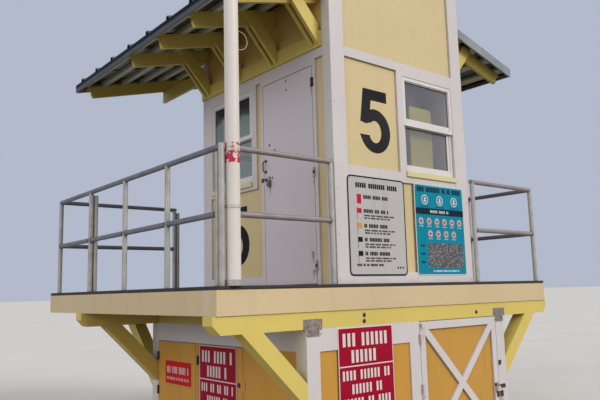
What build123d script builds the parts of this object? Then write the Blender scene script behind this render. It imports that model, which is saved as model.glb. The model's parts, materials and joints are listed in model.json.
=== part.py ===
"""A lifeguard tower: a timber hut on a raised deck over a locker base, with lean-to roofs and pipe rails.

Millimetres, +Z up. The numbered front faces -Y and the back, with its ladder, faces +Y. The ground is
z = 0, and the origin is under the middle of the whole tower.
"""

from math import atan2, cos, degrees, radians, sin, tan
import os

from build123d import *

# Deck
DECK_WIDTH = 4445
DECK_LENGTH = 3660
DECK_HEIGHT = 1670
DECKING = 30
FASCIA_DEPTH = 192
BOARD = 38
JOIST_COUNT = 11
BOARD_JOINT = 1
FASCIA_JOINT_AT = 2030
RIM_WIDTH = 82

# Base
TIMBER = 140
BASE_WIDTH = 2745
BASE_SETBACK = 10
BASE_LENGTH = 2730
GIRDER_OVERHANG = 30
GIRDER_CUT = 70
SILL_HEIGHT = 60
HEADER_DEPTH = 185
PANEL_THICKNESS = 50
PANEL_SETBACK = 12
DOOR_POST_AT = 2160
BRACE_REACH = 625
SEA_BRACE_REACH = 700
LOCKER_SPLIT_AT = 1760
LOCKER_NEAR_AT = 930
MULLION_WIDTH = 40
PLATE = 4
PLATE_HEAD = (200, 80)
PLATE_STEM = (130, 60)

# Doors
DOOR_GAP = 6
LEAF = 40
LOCKER_FRAME_WIDTH = 75
HINGE_RADIUS = 8
HINGE_HEIGHT = 90
HINGE_PLATE = 14
HINGE_STAND = 9
HINGE_PLATE_THICKNESS = 2
HINGE_WEB = 4
HINGE_END = 160
KNUCKLE_GAP = 0.3

# Hut
HUT_WIDTH = 1925
HUT_LENGTH = 2240
HUT_SETBACK = 60
TRIM = 20
WALL = 90
WALL_HEIGHT = 3300
CORNER_BOARD = 170
CORNER_RETURN = 110
BAND_BOTTOM = 2100
BAND_TOP = 2190
MID_RAIL_BOTTOM = 970
MID_RAIL_TOP = 1070
FOOT_BOARD = 100
DOOR_AT = 267
DOOR_WIDTH = 786
DOOR_HEIGHT = 2050
WINDOW_WIDTH = 770
WINDOW_HEIGHT = 975
WINDOW_SILL = 1085
WINDOW_CASING = 85
WINDOW_MARGIN = 25
WALL_STRIP = 79
SILL_NOSING = (15, 50)
DOOR_CASING = 45
SASH = 38
SASH_FOOT = 65
SASH_INSET = 5
SASH_STEP = 20
GLASS = 6
SEA_STILE = 150

# Roofs
ROOF_PITCH = 15
RAFTER_DEPTH = 145
RAFTER_COUNT = 4
FIRST_RAFTER_AT = 190
LAST_RAFTER_INSET = 120
OUTER_RAFTER_INSET = 50
OUTER_TAIL_SETBACK = 80
RAFTER_TIP = 245
TAIL_CHAMFER = (15, 1)
TAIL_NOSE = (0, 0.78)
TAIL_NOTCH = (64, 0.64)
TAIL_BELLY = (68, 0.3)
TAIL_FOOT = (92, 0)
RAFTER_HEIGHT = 2637
PURLIN_COUNT = 4
PORCH_PURLIN_COUNT = 4
PURLIN_WIDTH = 89
PURLIN_INSET = 55
PURLIN_WALL_GAP = 200
SIDE_ROOF_SETBACK = 30
SIDE_ROOF_REACH = 1305
SHEET = 5
SHEET_OVERHANG = 30
RIB_HEIGHT = 28
RIB_FOOT = 70
RIB_HEAD = 30
RIB_COUNT = 8
EDGE = 20
EAVE_EDGE_DEPTH = 85
RAKE_EDGE_DEPTH = 95
LEDGER_DEPTH = 150
BEAM_DEPTH = 150
BEAM_AT = 838
ROOF_BRACE_DEPTH = 130
ROOF_BRACE_PITCH = 48.9
ROOF_BRACE_FOOT = 15
HUT_ROOF_OVERHANG = 150
ROOF_DECK = 40
RIDGE_GAP = 1
DRIP = 20

# Rails and pole
PIPE = 48
RAIL_HEIGHT = 1067
MID_RAIL_HEIGHT = 547
RAIL_INSET = 78
FRONT_RAIL_INSET = 45
SEA_RAIL_INSET = 63
SIDE_BAY = 872
FRONT_RAIL_GAP = 60
SEA_RAIL_END = 1570
SPARE_POST_GAP = 3
SPARE_POST_HEIGHT = 1030
POLE = 114
POLE_AT = (170, 28)
POLE_HEIGHT = 4000
COLLAR_HEIGHT = 45
COLLAR = 11
STRAP_HEIGHT = 25
STRAP_LEVELS = (1041, 600)
STRAP = 4
PIPE_GAP = 0.3

# Ladder
LADDER_RUN = 700
LADDER_HEAD = 60
LADDER_WIDTH = 700
STRINGER_DEPTH = 140
TREAD_COUNT = 7

half_width = DECK_WIDTH / 2
base_half = BASE_WIDTH / 2
hut_half = HUT_WIDTH / 2
core_half = hut_half - TRIM
overall_length = (
    HUT_ROOF_OVERHANG - HUT_SETBACK + DECK_LENGTH + LADDER_HEAD + LADDER_RUN
)
front = HUT_ROOF_OVERHANG - HUT_SETBACK - overall_length / 2
joist_top = DECK_HEIGHT - DECKING
girder_top = joist_top - FASCIA_DEPTH
girder_bottom = girder_top - TIMBER
slope = tan(radians(ROOF_PITCH))
plumb = 1 / cos(radians(ROOF_PITCH))


def across(low, high):
    """Distances from the deck's left edge."""
    return (low - half_width, high - half_width)


def along(low, high):
    """Distances behind the deck's front edge."""
    return (low + front, high + front)


def above(low, high):
    """Heights over the deck."""
    return (low + DECK_HEIGHT, high + DECK_HEIGHT)


def block(x, y, z, mode=Mode.ADD):
    """A squared timber, board or slab between low and high values."""
    with Locations(((x[0] + x[1]) / 2, (y[0] + y[1]) / 2, (z[0] + z[1]) / 2)):
        Box(x[1] - x[0], y[1] - y[0], z[1] - z[0], mode=mode)


def outline(plane, points):
    """A closed outline of straight edges on a plane."""
    with BuildSketch(plane) as profile:
        with BuildLine():
            Polyline(*points, close=True)
        make_face()
    return profile.sketch


def beam_across(y, points):
    """A timber whose outline is seen from the front, between low and high y."""
    extrude(outline(Plane.XZ.offset(-y[0]), points), amount=y[0] - y[1])


def beam_along(x, points):
    """A timber whose outline is seen from the side, between low and high x."""
    extrude(outline(Plane.YZ.offset(x[0]), points), amount=x[1] - x[0])


def round_bar(plane, places, radius, length, mode=Mode.ADD):
    """Round bars from places on a plane, along its normal."""
    with BuildSketch(plane) as profile:
        with Locations(*places):
            Circle(radius)
    extrude(profile.sketch, amount=length, mode=mode)


def save(piece, label):
    """Name one piece and write its STEP file."""
    piece.part.label = label
    export_step(piece.part, f"parts/{label}.step")


os.makedirs("parts", exist_ok=True)

# Base: posts, sills, headers and panels
base_front = BASE_SETBACK
base_back = BASE_SETBACK + BASE_LENGTH
post_rows = (along(base_front, base_front + TIMBER), along(base_back - TIMBER, base_back))
between_rows = (post_rows[0][1], post_rows[1][0])
left_posts = (-base_half, -base_half + TIMBER)
door_post = across(DOOR_POST_AT - TIMBER / 2, DOOR_POST_AT + TIMBER / 2)
header_height = (girder_bottom - HEADER_DEPTH, girder_bottom)
panel_height = (SILL_HEIGHT, girder_bottom - HEADER_DEPTH)

with BuildPart() as base_posts:
    for row in post_rows:
        block(left_posts, row, (0, girder_bottom))
    mirror(about=Plane.YZ)
    block(door_post, post_rows[0], (0, girder_bottom))
save(base_posts, "base_posts")

with BuildPart() as base_sills:
    block(left_posts, between_rows, (0, SILL_HEIGHT))
    mirror(about=Plane.YZ)
    block((left_posts[1], door_post[0]), post_rows[0], (0, SILL_HEIGHT))
    block((door_post[1], -left_posts[1]), post_rows[0], (0, SILL_HEIGHT))
    block((left_posts[1], -left_posts[1]), post_rows[1], (0, SILL_HEIGHT))
save(base_sills, "base_sills")

side_skin = (-base_half, -base_half + PANEL_THICKNESS)
front_skin = (post_rows[0][0], post_rows[0][0] + PANEL_THICKNESS)
back_skin = (post_rows[1][1] - PANEL_THICKNESS, post_rows[1][1])

with BuildPart() as base_headers:
    block(side_skin, between_rows, header_height)
    mirror(about=Plane.YZ)
    block((left_posts[1], door_post[0]), front_skin, header_height)
    block((left_posts[1], -left_posts[1]), back_skin, header_height)
save(base_headers, "base_headers")

side_panel = (side_skin[0] + PANEL_SETBACK, side_skin[1] + PANEL_SETBACK)
front_panel = (front_skin[0] + PANEL_SETBACK, front_skin[1] + PANEL_SETBACK)
back_panel = (back_skin[0] - PANEL_SETBACK, back_skin[1] - PANEL_SETBACK)
mullion = along(LOCKER_SPLIT_AT - MULLION_WIDTH / 2, LOCKER_SPLIT_AT + MULLION_WIDTH / 2)
near_jamb = front + LOCKER_NEAR_AT

with BuildPart() as base_panels:
    block((left_posts[1], door_post[0]), front_panel, panel_height)
    block((left_posts[1], -left_posts[1]), back_panel, panel_height)
    block((-side_panel[1], -side_panel[0]), between_rows, panel_height)
    block(side_skin, (between_rows[0], near_jamb), panel_height)
    block(side_skin, mullion, panel_height)
save(base_panels, "base_panels")

# Deck: girders, side plates, braces, joists, fascia and decking
girder_half = half_width + GIRDER_OVERHANG

with BuildPart() as girders:
    for row in post_rows:
        beam_across(
            row,
            [
                (-girder_half, girder_top),
                (girder_half, girder_top),
                (girder_half, girder_top - GIRDER_CUT),
                (girder_half - GIRDER_CUT, girder_bottom),
                (GIRDER_CUT - girder_half, girder_bottom),
                (-girder_half, girder_top - GIRDER_CUT),
            ],
        )
save(girders, "girders")

deck_back = front + DECK_LENGTH

with BuildPart() as side_plates:
    block(left_posts, between_rows, (girder_bottom, girder_top))
    beam_along(
        left_posts,
        [
            (post_rows[1][1], girder_top),
            (deck_back - BOARD, girder_top),
            (deck_back - BOARD, girder_top - GIRDER_CUT),
            (deck_back - BOARD - GIRDER_CUT, girder_bottom),
            (post_rows[1][1], girder_bottom),
        ],
    )
    mirror(about=Plane.YZ)
save(side_plates, "side_plates")

brace_width = TIMBER / sin(radians(45))

with BuildPart() as knee_braces:
    for row in post_rows:
        beam_across(
            row,
            [
                (-base_half - BRACE_REACH, girder_bottom),
                (-base_half - BRACE_REACH + brace_width, girder_bottom),
                (-base_half, girder_bottom - BRACE_REACH + brace_width),
                (-base_half, girder_bottom - BRACE_REACH),
            ],
        )
    beam_along(
        left_posts,
        [
            (post_rows[1][1] + SEA_BRACE_REACH, girder_bottom),
            (post_rows[1][1] + SEA_BRACE_REACH - brace_width, girder_bottom),
            (post_rows[1][1], girder_bottom - SEA_BRACE_REACH + brace_width),
            (post_rows[1][1], girder_bottom - SEA_BRACE_REACH),
        ],
    )
    mirror(about=Plane.YZ)
save(knee_braces, "knee_braces")

# T-shaped plates tie the front posts' heads to their girder
with BuildPart() as post_plates:
    with BuildSketch(Plane.XZ.offset(-post_rows[0][0])):
        with Locations((-base_half + TIMBER / 2, girder_bottom + PLATE_HEAD[1] / 2)):
            Rectangle(*PLATE_HEAD)
        with Locations((-base_half + TIMBER / 2, girder_bottom - PLATE_STEM[1] / 2)):
            Rectangle(*PLATE_STEM)
    extrude(amount=PLATE)
    mirror(about=Plane.YZ)
save(post_plates, "post_plates")

joist_y = (front + BOARD + BOARD_JOINT, deck_back - BOARD - BOARD_JOINT)
joist_span = DECK_WIDTH - 2 * RIM_WIDTH - 2 * BOARD_JOINT - BOARD

with BuildPart() as deck_joists:
    with Locations((0, (joist_y[0] + joist_y[1]) / 2, (girder_top + joist_top) / 2)):
        with GridLocations(joist_span / (JOIST_COUNT - 1), 0, JOIST_COUNT, 1):
            Box(BOARD, joist_y[1] - joist_y[0], FASCIA_DEPTH)
save(deck_joists, "deck_joists")

fascia_height = (girder_top, joist_top)

with BuildPart() as deck_fascia:
    block(across(0, FASCIA_JOINT_AT - BOARD_JOINT), along(0, BOARD), fascia_height)
    block(across(FASCIA_JOINT_AT, DECK_WIDTH - RIM_WIDTH - BOARD_JOINT), along(0, BOARD), fascia_height)
    block(across(DECK_WIDTH - RIM_WIDTH, DECK_WIDTH), along(0, DECK_LENGTH), fascia_height)
    block(across(0, BOARD), along(BOARD + BOARD_JOINT, DECK_LENGTH), fascia_height)
    block(
        across(BOARD + BOARD_JOINT, DECK_WIDTH - RIM_WIDTH - BOARD_JOINT),
        along(DECK_LENGTH - BOARD, DECK_LENGTH),
        fascia_height,
    )
save(deck_fascia, "deck_fascia")

with BuildPart() as decking:
    block((-half_width, half_width), (front, deck_back), (joist_top, DECK_HEIGHT))
save(decking, "decking")

# Hut walls, each with its window or doorway cut through
hut_front = front + HUT_SETBACK
hut_back = hut_front + HUT_LENGTH
core_front = hut_front + TRIM
core_back = hut_back - TRIM
wall_top = DECK_HEIGHT + WALL_HEIGHT
window_height = above(WINDOW_SILL, WINDOW_SILL + WINDOW_HEIGHT)
window_end = hut_half - CORNER_BOARD - WINDOW_MARGIN
front_window = (window_end - WINDOW_WIDTH, window_end)
sea_windows = ((-window_end, -SEA_STILE / 2), (SEA_STILE / 2, window_end))
door_span = (hut_front + DOOR_AT, hut_front + DOOR_AT + DOOR_WIDTH)
side_window = (
    door_span[1] + DOOR_CASING + WALL_STRIP + WINDOW_CASING,
    hut_back - CORNER_BOARD - WINDOW_MARGIN,
)
door_height = above(0, DOOR_HEIGHT)


def gable_wall(y):
    """One end wall with its peak, 90 mm thick, from its low to its high y."""
    beam_across(
        y,
        [
            (-core_half, DECK_HEIGHT),
            (core_half, DECK_HEIGHT),
            (core_half, wall_top),
            (0, wall_top + core_half * slope),
            (-core_half, wall_top),
        ],
    )


def side_wall(y, bottom):
    """A length of the left side wall whose top follows the roof."""
    beam_across(
        y,
        [
            (-core_half, bottom),
            (-core_half + WALL, bottom),
            (-core_half + WALL, wall_top + WALL * slope),
            (-core_half, wall_top),
        ],
    )


with BuildPart() as hut_wall_front:
    gable_wall((core_front, core_front + WALL))
    block(front_window, (core_front, core_front + WALL), window_height, Mode.SUBTRACT)
save(hut_wall_front, "hut_wall_front")

with BuildPart() as hut_wall_sea:
    gable_wall((core_back - WALL, core_back))
    for window in sea_windows:
        block(window, (core_back - WALL, core_back), window_height, Mode.SUBTRACT)
save(hut_wall_sea, "hut_wall_sea")

wall_run = (core_front + WALL, core_back - WALL)
left_core = (-core_half, -core_half + WALL)

with BuildPart() as hut_wall_door_near:
    side_wall((wall_run[0], door_span[0]), DECK_HEIGHT)
save(hut_wall_door_near, "hut_wall_door_near")

with BuildPart() as hut_wall_door_head:
    side_wall(door_span, door_height[1])
save(hut_wall_door_head, "hut_wall_door_head")

with BuildPart() as hut_wall_door_far:
    side_wall((door_span[1], wall_run[1]), DECK_HEIGHT)
    block(left_core, side_window, window_height, Mode.SUBTRACT)
save(hut_wall_door_far, "hut_wall_door_far")

with BuildPart() as hut_wall_right:
    side_wall(wall_run, DECK_HEIGHT)
    block(left_core, side_window, window_height, Mode.SUBTRACT)
right_wall = hut_wall_right.part.mirror(Plane.YZ)
right_wall.label = "hut_wall_right"
export_step(right_wall, "parts/hut_wall_right.step")

# White boards on the hut: the back corners' sides stop below the ledgers and go on above them
corner_top = wall_top - TRIM


def corner_board(y, y_inner, y_return, z):
    """Both corners of one end wall, each an angle of two boards."""
    corner = [
        (-hut_half, y),
        (-hut_half + CORNER_BOARD, y),
        (-hut_half + CORNER_BOARD, y_inner),
        (-core_half, y_inner),
        (-core_half, y_return),
        (-hut_half, y_return),
    ]
    extrude(outline(Plane.XY.offset(z[0]), corner), amount=z[1] - z[0])


with BuildPart() as hut_corner_boards:
    corner_board(hut_front, core_front, hut_front + CORNER_RETURN, (DECK_HEIGHT, corner_top))
    corner_board(hut_back, core_back, hut_back - CORNER_BOARD, above(0, BAND_TOP))
    block(
        (-core_half, -hut_half + CORNER_BOARD),
        (core_back, hut_back),
        (DECK_HEIGHT + BAND_TOP + BOARD_JOINT, corner_top),
    )
    block(
        (-hut_half, -core_half),
        (hut_back - CORNER_RETURN, hut_back),
        above(BAND_TOP + LEDGER_DEPTH, RAFTER_HEIGHT - TRIM),
    )
    mirror(about=Plane.YZ)
save(hut_corner_boards, "hut_corner_boards")

front_board = (hut_front, core_front)
sea_board = (core_back, hut_back)
left_board = (-hut_half, -core_half)
front_run = (-hut_half + CORNER_BOARD, hut_half - CORNER_BOARD)
side_run = (hut_front + CORNER_RETURN, hut_back - CORNER_BOARD)

with BuildPart() as hut_bands:
    for z in (above(BAND_BOTTOM, BAND_TOP), above(MID_RAIL_BOTTOM, MID_RAIL_TOP), above(0, FOOT_BOARD)):
        block(front_run, front_board, z)
        block(front_run, sea_board, z)
    for z in (above(BAND_BOTTOM, BAND_TOP), above(0, FOOT_BOARD)):
        block((core_half, hut_half), side_run, z)
    block(left_board, side_run, above(BAND_BOTTOM, BAND_TOP))
    block(left_board, (door_span[1] + DOOR_CASING, side_run[1]), above(0, FOOT_BOARD))
save(hut_bands, "hut_bands")

# The front and side windows stand against a corner board, with a wide casing on their other side
end_casing_z = above(MID_RAIL_TOP, BAND_BOTTOM)
side_casing_z = (window_height[0] - WINDOW_CASING, DECK_HEIGHT + BAND_BOTTOM)

with BuildPart() as window_casings:
    block((front_window[0] - WINDOW_CASING, front_run[1]), front_board, end_casing_z)
    block(front_window, front_board, window_height, Mode.SUBTRACT)
    block(front_run, sea_board, end_casing_z)
    for window in sea_windows:
        block(window, sea_board, window_height, Mode.SUBTRACT)
    for x in (left_board, (core_half, hut_half)):
        block(x, (side_window[0] - WINDOW_CASING, side_run[1]), side_casing_z)
        block(x, side_window, window_height, Mode.SUBTRACT)
save(window_casings, "window_casings")

sill_z = (window_height[0] - SILL_NOSING[1], window_height[0])

with BuildPart() as window_sills:
    block(front_window, (hut_front - SILL_NOSING[0], hut_front), sill_z)
    for window in sea_windows:
        block(window, (hut_back, hut_back + SILL_NOSING[0]), sill_z)
    for side in (-1, 1):
        nosing = sorted((side * hut_half, side * (hut_half + SILL_NOSING[0])))
        block(nosing, side_window, sill_z)
save(window_sills, "window_sills")

with BuildPart() as door_casing:
    block(left_board, (door_span[0] - DOOR_CASING, door_span[0]), above(0, DOOR_HEIGHT))
    block(left_board, (door_span[1], door_span[1] + DOOR_CASING), above(0, DOOR_HEIGHT))
    block(
        left_board,
        (door_span[0] - DOOR_CASING, door_span[1] + DOOR_CASING),
        above(DOOR_HEIGHT + BOARD_JOINT, BAND_BOTTOM),
    )
save(door_casing, "door_casing")

# Windows: an upper sash outside a lower one, each with its depth, its height and its pane's height
meeting = (window_height[0] + window_height[1]) / 2
meeting_rail = (meeting - SASH / 2, meeting + SASH / 2)
sashes = (
    (
        (SASH_INSET + SASH_STEP, SASH_INSET + SASH_STEP + SASH),
        (window_height[0], meeting_rail[1]),
        (window_height[0] + SASH_FOOT, meeting_rail[0]),
    ),
    (
        (SASH_INSET, SASH_INSET + SASH),
        (meeting_rail[0], window_height[1]),
        (meeting_rail[1], window_height[1] - SASH),
    ),
)
pane_margin = (SASH - GLASS) / 2


def window_walls():
    """Yield every window as its plane's own span, the wall's face and the way inwards."""
    yield "across", front_window, hut_front, 1
    for window in sea_windows:
        yield "across", window, hut_back, -1
    yield "along", side_window, -hut_half, 1
    yield "along", side_window, hut_half, -1


def in_wall(kind, span, face, way, inset, z, mode=Mode.ADD):
    """A block inside a window's opening, set back from the boards' face."""
    depth = sorted((face + way * inset[0], face + way * inset[1]))
    if kind == "across":
        block(span, depth, z, mode)
    else:
        block(depth, span, z, mode)


with BuildPart() as window_sashes:
    for kind, span, face, way in window_walls():
        inner = (span[0] + SASH, span[1] - SASH)
        for inset, frame_z, pane_z in sashes:
            in_wall(kind, span, face, way, inset, frame_z)
            in_wall(kind, inner, face, way, inset, pane_z, Mode.SUBTRACT)
save(window_sashes, "window_sashes")

with BuildPart() as window_glass:
    for kind, span, face, way in window_walls():
        inner = (span[0] + SASH, span[1] - SASH)
        for inset, _, pane_z in sashes:
            pane_inset = (inset[0] + pane_margin, inset[1] - pane_margin)
            in_wall(kind, inner, face, way, pane_inset, pane_z)
save(window_glass, "window_glass")

# Doors, each hung on hinges whose pins stand clear of its outer face
hut_leaf_y = (door_span[0] + DOOR_GAP, door_span[1] - DOOR_GAP)
hut_leaf_z = (DECK_HEIGHT + 2 * DOOR_GAP, door_height[1] - DOOR_GAP)
hut_pin = (-hut_half - HINGE_STAND, door_span[0] + DOOR_GAP / 2)

with BuildPart() as hut_door:
    block((-hut_half, -hut_half + LEAF), hut_leaf_y, hut_leaf_z)
save(hut_door, "hut_door")

front_leaf_x = (door_post[1] + DOOR_GAP, -left_posts[1] - DOOR_GAP)
front_leaf_z = (SILL_HEIGHT + DOOR_GAP, girder_bottom - DOOR_GAP)
front_frame_y = (post_rows[0][0], post_rows[0][0] + LEAF / 2)
front_pin = (door_post[1] + DOOR_GAP / 2, post_rows[0][0] - HINGE_STAND)

with BuildPart() as front_door_panel:
    block(front_leaf_x, (front_frame_y[1], front_frame_y[1] + LEAF / 2), front_leaf_z)
save(front_door_panel, "front_door_panel")

leaf_width = front_leaf_x[1] - front_leaf_x[0]
leaf_height = front_leaf_z[1] - front_leaf_z[0]
leaf_centre = ((front_leaf_x[0] + front_leaf_x[1]) / 2, (front_leaf_z[0] + front_leaf_z[1]) / 2)
clear_width = leaf_width - 2 * LOCKER_FRAME_WIDTH
clear_height = leaf_height - 2 * LOCKER_FRAME_WIDTH

cross_length = (clear_width**2 + clear_height**2) ** 0.5
cross_angle = degrees(atan2(clear_height, clear_width))

with BuildPart() as front_door_frame:
    with BuildSketch(Plane.XZ.offset(-front_frame_y[1])):
        with Locations(leaf_centre):
            Rectangle(leaf_width, leaf_height)
            Rectangle(clear_width, clear_height, mode=Mode.SUBTRACT)
            Rectangle(cross_length, LOCKER_FRAME_WIDTH, rotation=cross_angle)
            Rectangle(cross_length, LOCKER_FRAME_WIDTH, rotation=-cross_angle)
    extrude(amount=LEAF / 2)
save(front_door_frame, "front_door_frame")

side_leaf_x = (side_skin[0], side_skin[0] + LEAF)
side_leaf_z = (SILL_HEIGHT + DOOR_GAP, girder_bottom - HEADER_DEPTH - DOOR_GAP)
far_leaf_y = (mullion[1] + DOOR_GAP, between_rows[1] - DOOR_GAP)
near_leaf_y = (near_jamb + DOOR_GAP, mullion[0] - DOOR_GAP)
far_pin = (-base_half - HINGE_STAND, between_rows[1] - DOOR_GAP / 2)
near_pin = (-base_half - HINGE_STAND, mullion[0] - DOOR_GAP / 2)

with BuildPart() as side_door_far:
    block(side_leaf_x, far_leaf_y, side_leaf_z)
save(side_door_far, "side_door_far")

with BuildPart() as side_door_near:
    block(side_leaf_x, near_leaf_y, side_leaf_z)
save(side_door_near, "side_door_near")


def hinge_halves(pin, leaf_way, inward, heights, moving):
    """Plates and knuckles of one half of a door's hinges: the leaf's half holds the middle knuckle."""
    side = 1 if moving else -1
    third = HINGE_HEIGHT / 3
    levels = (0,) if moving else (-third, third)
    for height in heights:
        with Locations(Plane(origin=(*pin, height), x_dir=leaf_way, z_dir=(0, 0, 1))):
            seat = inward * (HINGE_STAND - HINGE_PLATE_THICKNESS / 2)
            with Locations((side * (HINGE_STAND + HINGE_PLATE / 2), seat, 0)):
                Box(HINGE_PLATE, HINGE_PLATE_THICKNESS, HINGE_HEIGHT)
            for level in levels:
                with Locations((0, 0, level)):
                    Cylinder(HINGE_RADIUS, third - KNUCKLE_GAP)
                    with Locations((side * HINGE_STAND / 2, inward * (HINGE_STAND - HINGE_WEB / 2), 0)):
                        Box(HINGE_STAND, HINGE_WEB, third - KNUCKLE_GAP)


def hinge_heights(z, count):
    """Heights of the hinges on a leaf: near its top, near its foot and evenly between."""
    low = z[0] + HINGE_END
    high = z[1] - HINGE_END
    return [low + (high - low) * step / (count - 1) for step in range(count)]


door_hinges = {
    "hut_door": (hut_pin, (0, 1, 0), -1, hinge_heights(hut_leaf_z, 3)),
    "front_door": (front_pin, (1, 0, 0), 1, hinge_heights(front_leaf_z, 3)),
    "side_door_far": (far_pin, (0, -1, 0), 1, hinge_heights(side_leaf_z, 3)),
    "side_door_near": (near_pin, (0, -1, 0), 1, hinge_heights(side_leaf_z, 2)),
}

with BuildPart() as frame_hinges:
    for pin, leaf_way, inward, heights in door_hinges.values():
        hinge_halves(pin, leaf_way, inward, heights, moving=False)
save(frame_hinges, "frame_hinges")

for door, (pin, leaf_way, inward, heights) in door_hinges.items():
    with BuildPart() as leaf_hinges:
        hinge_halves(pin, leaf_way, inward, heights, moving=True)
    save(leaf_hinges, f"{door}_hinges")

# Lean-to roofs on both sides, which meet over the deck behind the hut as a porch
def rafter_bottom(x):
    """Height of the rafters' underside on the left side."""
    return DECK_HEIGHT + RAFTER_HEIGHT + (x + core_half) * slope


side_roof = (hut_front + SIDE_ROOF_SETBACK, hut_back + SIDE_ROOF_REACH)
rafter_rise = RAFTER_DEPTH * plumb
first_rafter = hut_front + FIRST_RAFTER_AT
rafter_step = (hut_back - LAST_RAFTER_INSET - first_rafter) / (RAFTER_COUNT - 1)
wall_rafters = [first_rafter + index * rafter_step for index in range(RAFTER_COUNT)]
outer_rafter = side_roof[1] - OUTER_RAFTER_INSET
tip = RAFTER_TIP - half_width
ledger_x = (-core_half - BOARD, -core_half)


def tail_point(nose, setback, share):
    """A point of a rafter's tail, behind its nose and a share of the depth over the underside."""
    x = nose + setback
    return (x, rafter_bottom(x) + share * rafter_rise)


def rafter(place, nose, end):
    """A rafter at its place along the roof, from its shaped tail up to its end."""
    notch = tail_point(nose, *TAIL_NOTCH)
    foot = tail_point(nose, *TAIL_FOOT)
    with BuildSketch(Plane.XZ.offset(BOARD / 2 - place)) as profile:
        with BuildLine():
            Polyline(
                foot,
                (end, rafter_bottom(end)),
                (end, rafter_bottom(end) + rafter_rise),
                tail_point(nose, *TAIL_CHAMFER),
                tail_point(nose, *TAIL_NOSE),
                notch,
            )
            ThreePointArc(notch, tail_point(nose, *TAIL_BELLY), foot)
        make_face()
    extrude(profile.sketch, amount=-BOARD)


with BuildPart() as roof_ledgers:
    block(ledger_x, (hut_front + CORNER_RETURN, hut_back), above(BAND_TOP, BAND_TOP + LEDGER_DEPTH))
    mirror(about=Plane.YZ)
save(roof_ledgers, "roof_ledgers")

beam_x = (-BEAM_AT, BOARD - BEAM_AT)

with BuildPart() as roof_beams:
    beam_across(
        (hut_back, outer_rafter + BOARD / 2),
        [
            (beam_x[0], rafter_bottom(beam_x[0]) - BEAM_DEPTH),
            (beam_x[1], rafter_bottom(beam_x[0]) - BEAM_DEPTH),
            (beam_x[1], rafter_bottom(beam_x[1])),
            (beam_x[0], rafter_bottom(beam_x[0])),
        ],
    )
    mirror(about=Plane.YZ)
save(roof_beams, "roof_beams")

with BuildPart() as rafters:
    for place in wall_rafters:
        rafter(place, tip, -core_half)
    rafter(outer_rafter, tip + OUTER_TAIL_SETBACK, -RIDGE_GAP)
    mirror(about=Plane.YZ)
save(rafters, "rafters")

brace_slope = tan(radians(ROOF_BRACE_PITCH))
brace_plumb = ROOF_BRACE_DEPTH / cos(radians(ROOF_BRACE_PITCH))
brace_foot = DECK_HEIGHT + BAND_TOP + ROOF_BRACE_FOOT


def brace_head(low_z):
    """Where a brace's edge that starts at low_z on the ledger meets the rafter's top."""
    run = (rafter_bottom(ledger_x[0]) + rafter_rise - low_z) / (brace_slope + slope)
    return (ledger_x[0] - run, low_z + run * brace_slope)


with BuildPart() as roof_braces:
    for place in wall_rafters:
        for side in (-1, 1):
            face = place + side * BOARD - BOARD / 2
            beam_across(
                (face, face + BOARD),
                [
                    (ledger_x[0], brace_foot),
                    (ledger_x[0], brace_foot + brace_plumb),
                    brace_head(brace_foot + brace_plumb),
                    brace_head(brace_foot),
                ],
            )
    mirror(about=Plane.YZ)
save(roof_braces, "roof_braces")

down = (-cos(radians(ROOF_PITCH)), 0, -sin(radians(ROOF_PITCH)))


def roof_plane(x, lift, y):
    """A plane across the left roof at x, raised by lift over the rafters' tops."""
    z = rafter_bottom(x) + rafter_rise + lift * plumb
    return Plane(origin=(x, y, z), x_dir=(0, -1, 0), z_dir=down)


def purlin(place, y):
    """A purlin on the rafters' tops, between low and high y."""
    with Locations(roof_plane(place, BOARD / 2, (y[0] + y[1]) / 2)):
        Box(y[1] - y[0], BOARD, PURLIN_WIDTH)


first_purlin = tip + PURLIN_INSET
last_purlin = -core_half - PURLIN_WALL_GAP
purlin_step = (last_purlin - first_purlin) / (PURLIN_COUNT - 1)
purlin_y = (side_roof[0] + BOARD, side_roof[1] - BOARD)

with BuildPart() as purlins:
    for index in range(PURLIN_COUNT):
        purlin(first_purlin + index * purlin_step, purlin_y)
    for index in range(PORCH_PURLIN_COUNT):
        place = last_purlin + (index + 1) * purlin_step
        wall_face = hut_back if place < front_run[0] else core_back
        purlin(place, (wall_face, purlin_y[1]))
    mirror(about=Plane.YZ)
save(purlins, "purlins")


def ribbed_sheet(plane, width, length, ribs):
    """A folded roof sheet: ribs run down the slope, and the fold shows on both faces."""
    pitch = width / ribs
    top = []
    for index in range(ribs):
        centre = (index + 0.5) * pitch - width / 2
        top += [
            (centre - RIB_FOOT / 2, SHEET),
            (centre - RIB_HEAD / 2, SHEET + RIB_HEIGHT),
            (centre + RIB_HEAD / 2, SHEET + RIB_HEIGHT),
            (centre + RIB_FOOT / 2, SHEET),
        ]
    upper = [(-width / 2, SHEET), *top, (width / 2, SHEET)]
    lower = [(u, v - SHEET) for u, v in reversed(upper)]
    extrude(outline(plane, [*upper, *lower]), amount=length)


eave_x = tip - SHEET_OVERHANG
roof_length = side_roof[1] - side_roof[0]
roof_middle = (side_roof[0] + side_roof[1]) / 2

with BuildPart() as side_roof_left:
    ribbed_sheet(
        roof_plane(-core_half, BOARD, roof_middle),
        roof_length,
        (-core_half - eave_x) * plumb,
        RIB_COUNT,
    )
    block(
        (-hut_half - BOARD_JOINT, -core_half + BOARD),
        (side_roof[0] - BOARD, hut_front + CORNER_RETURN + BOARD_JOINT),
        (rafter_bottom(-hut_half), rafter_bottom(-core_half) + 2 * rafter_rise),
        Mode.SUBTRACT,
    )
save(side_roof_left, "side_roof_left")

right_sheet = side_roof_left.part.mirror(Plane.YZ)
right_sheet.label = "side_roof_right"
export_step(right_sheet, "parts/side_roof_right.step")

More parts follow.
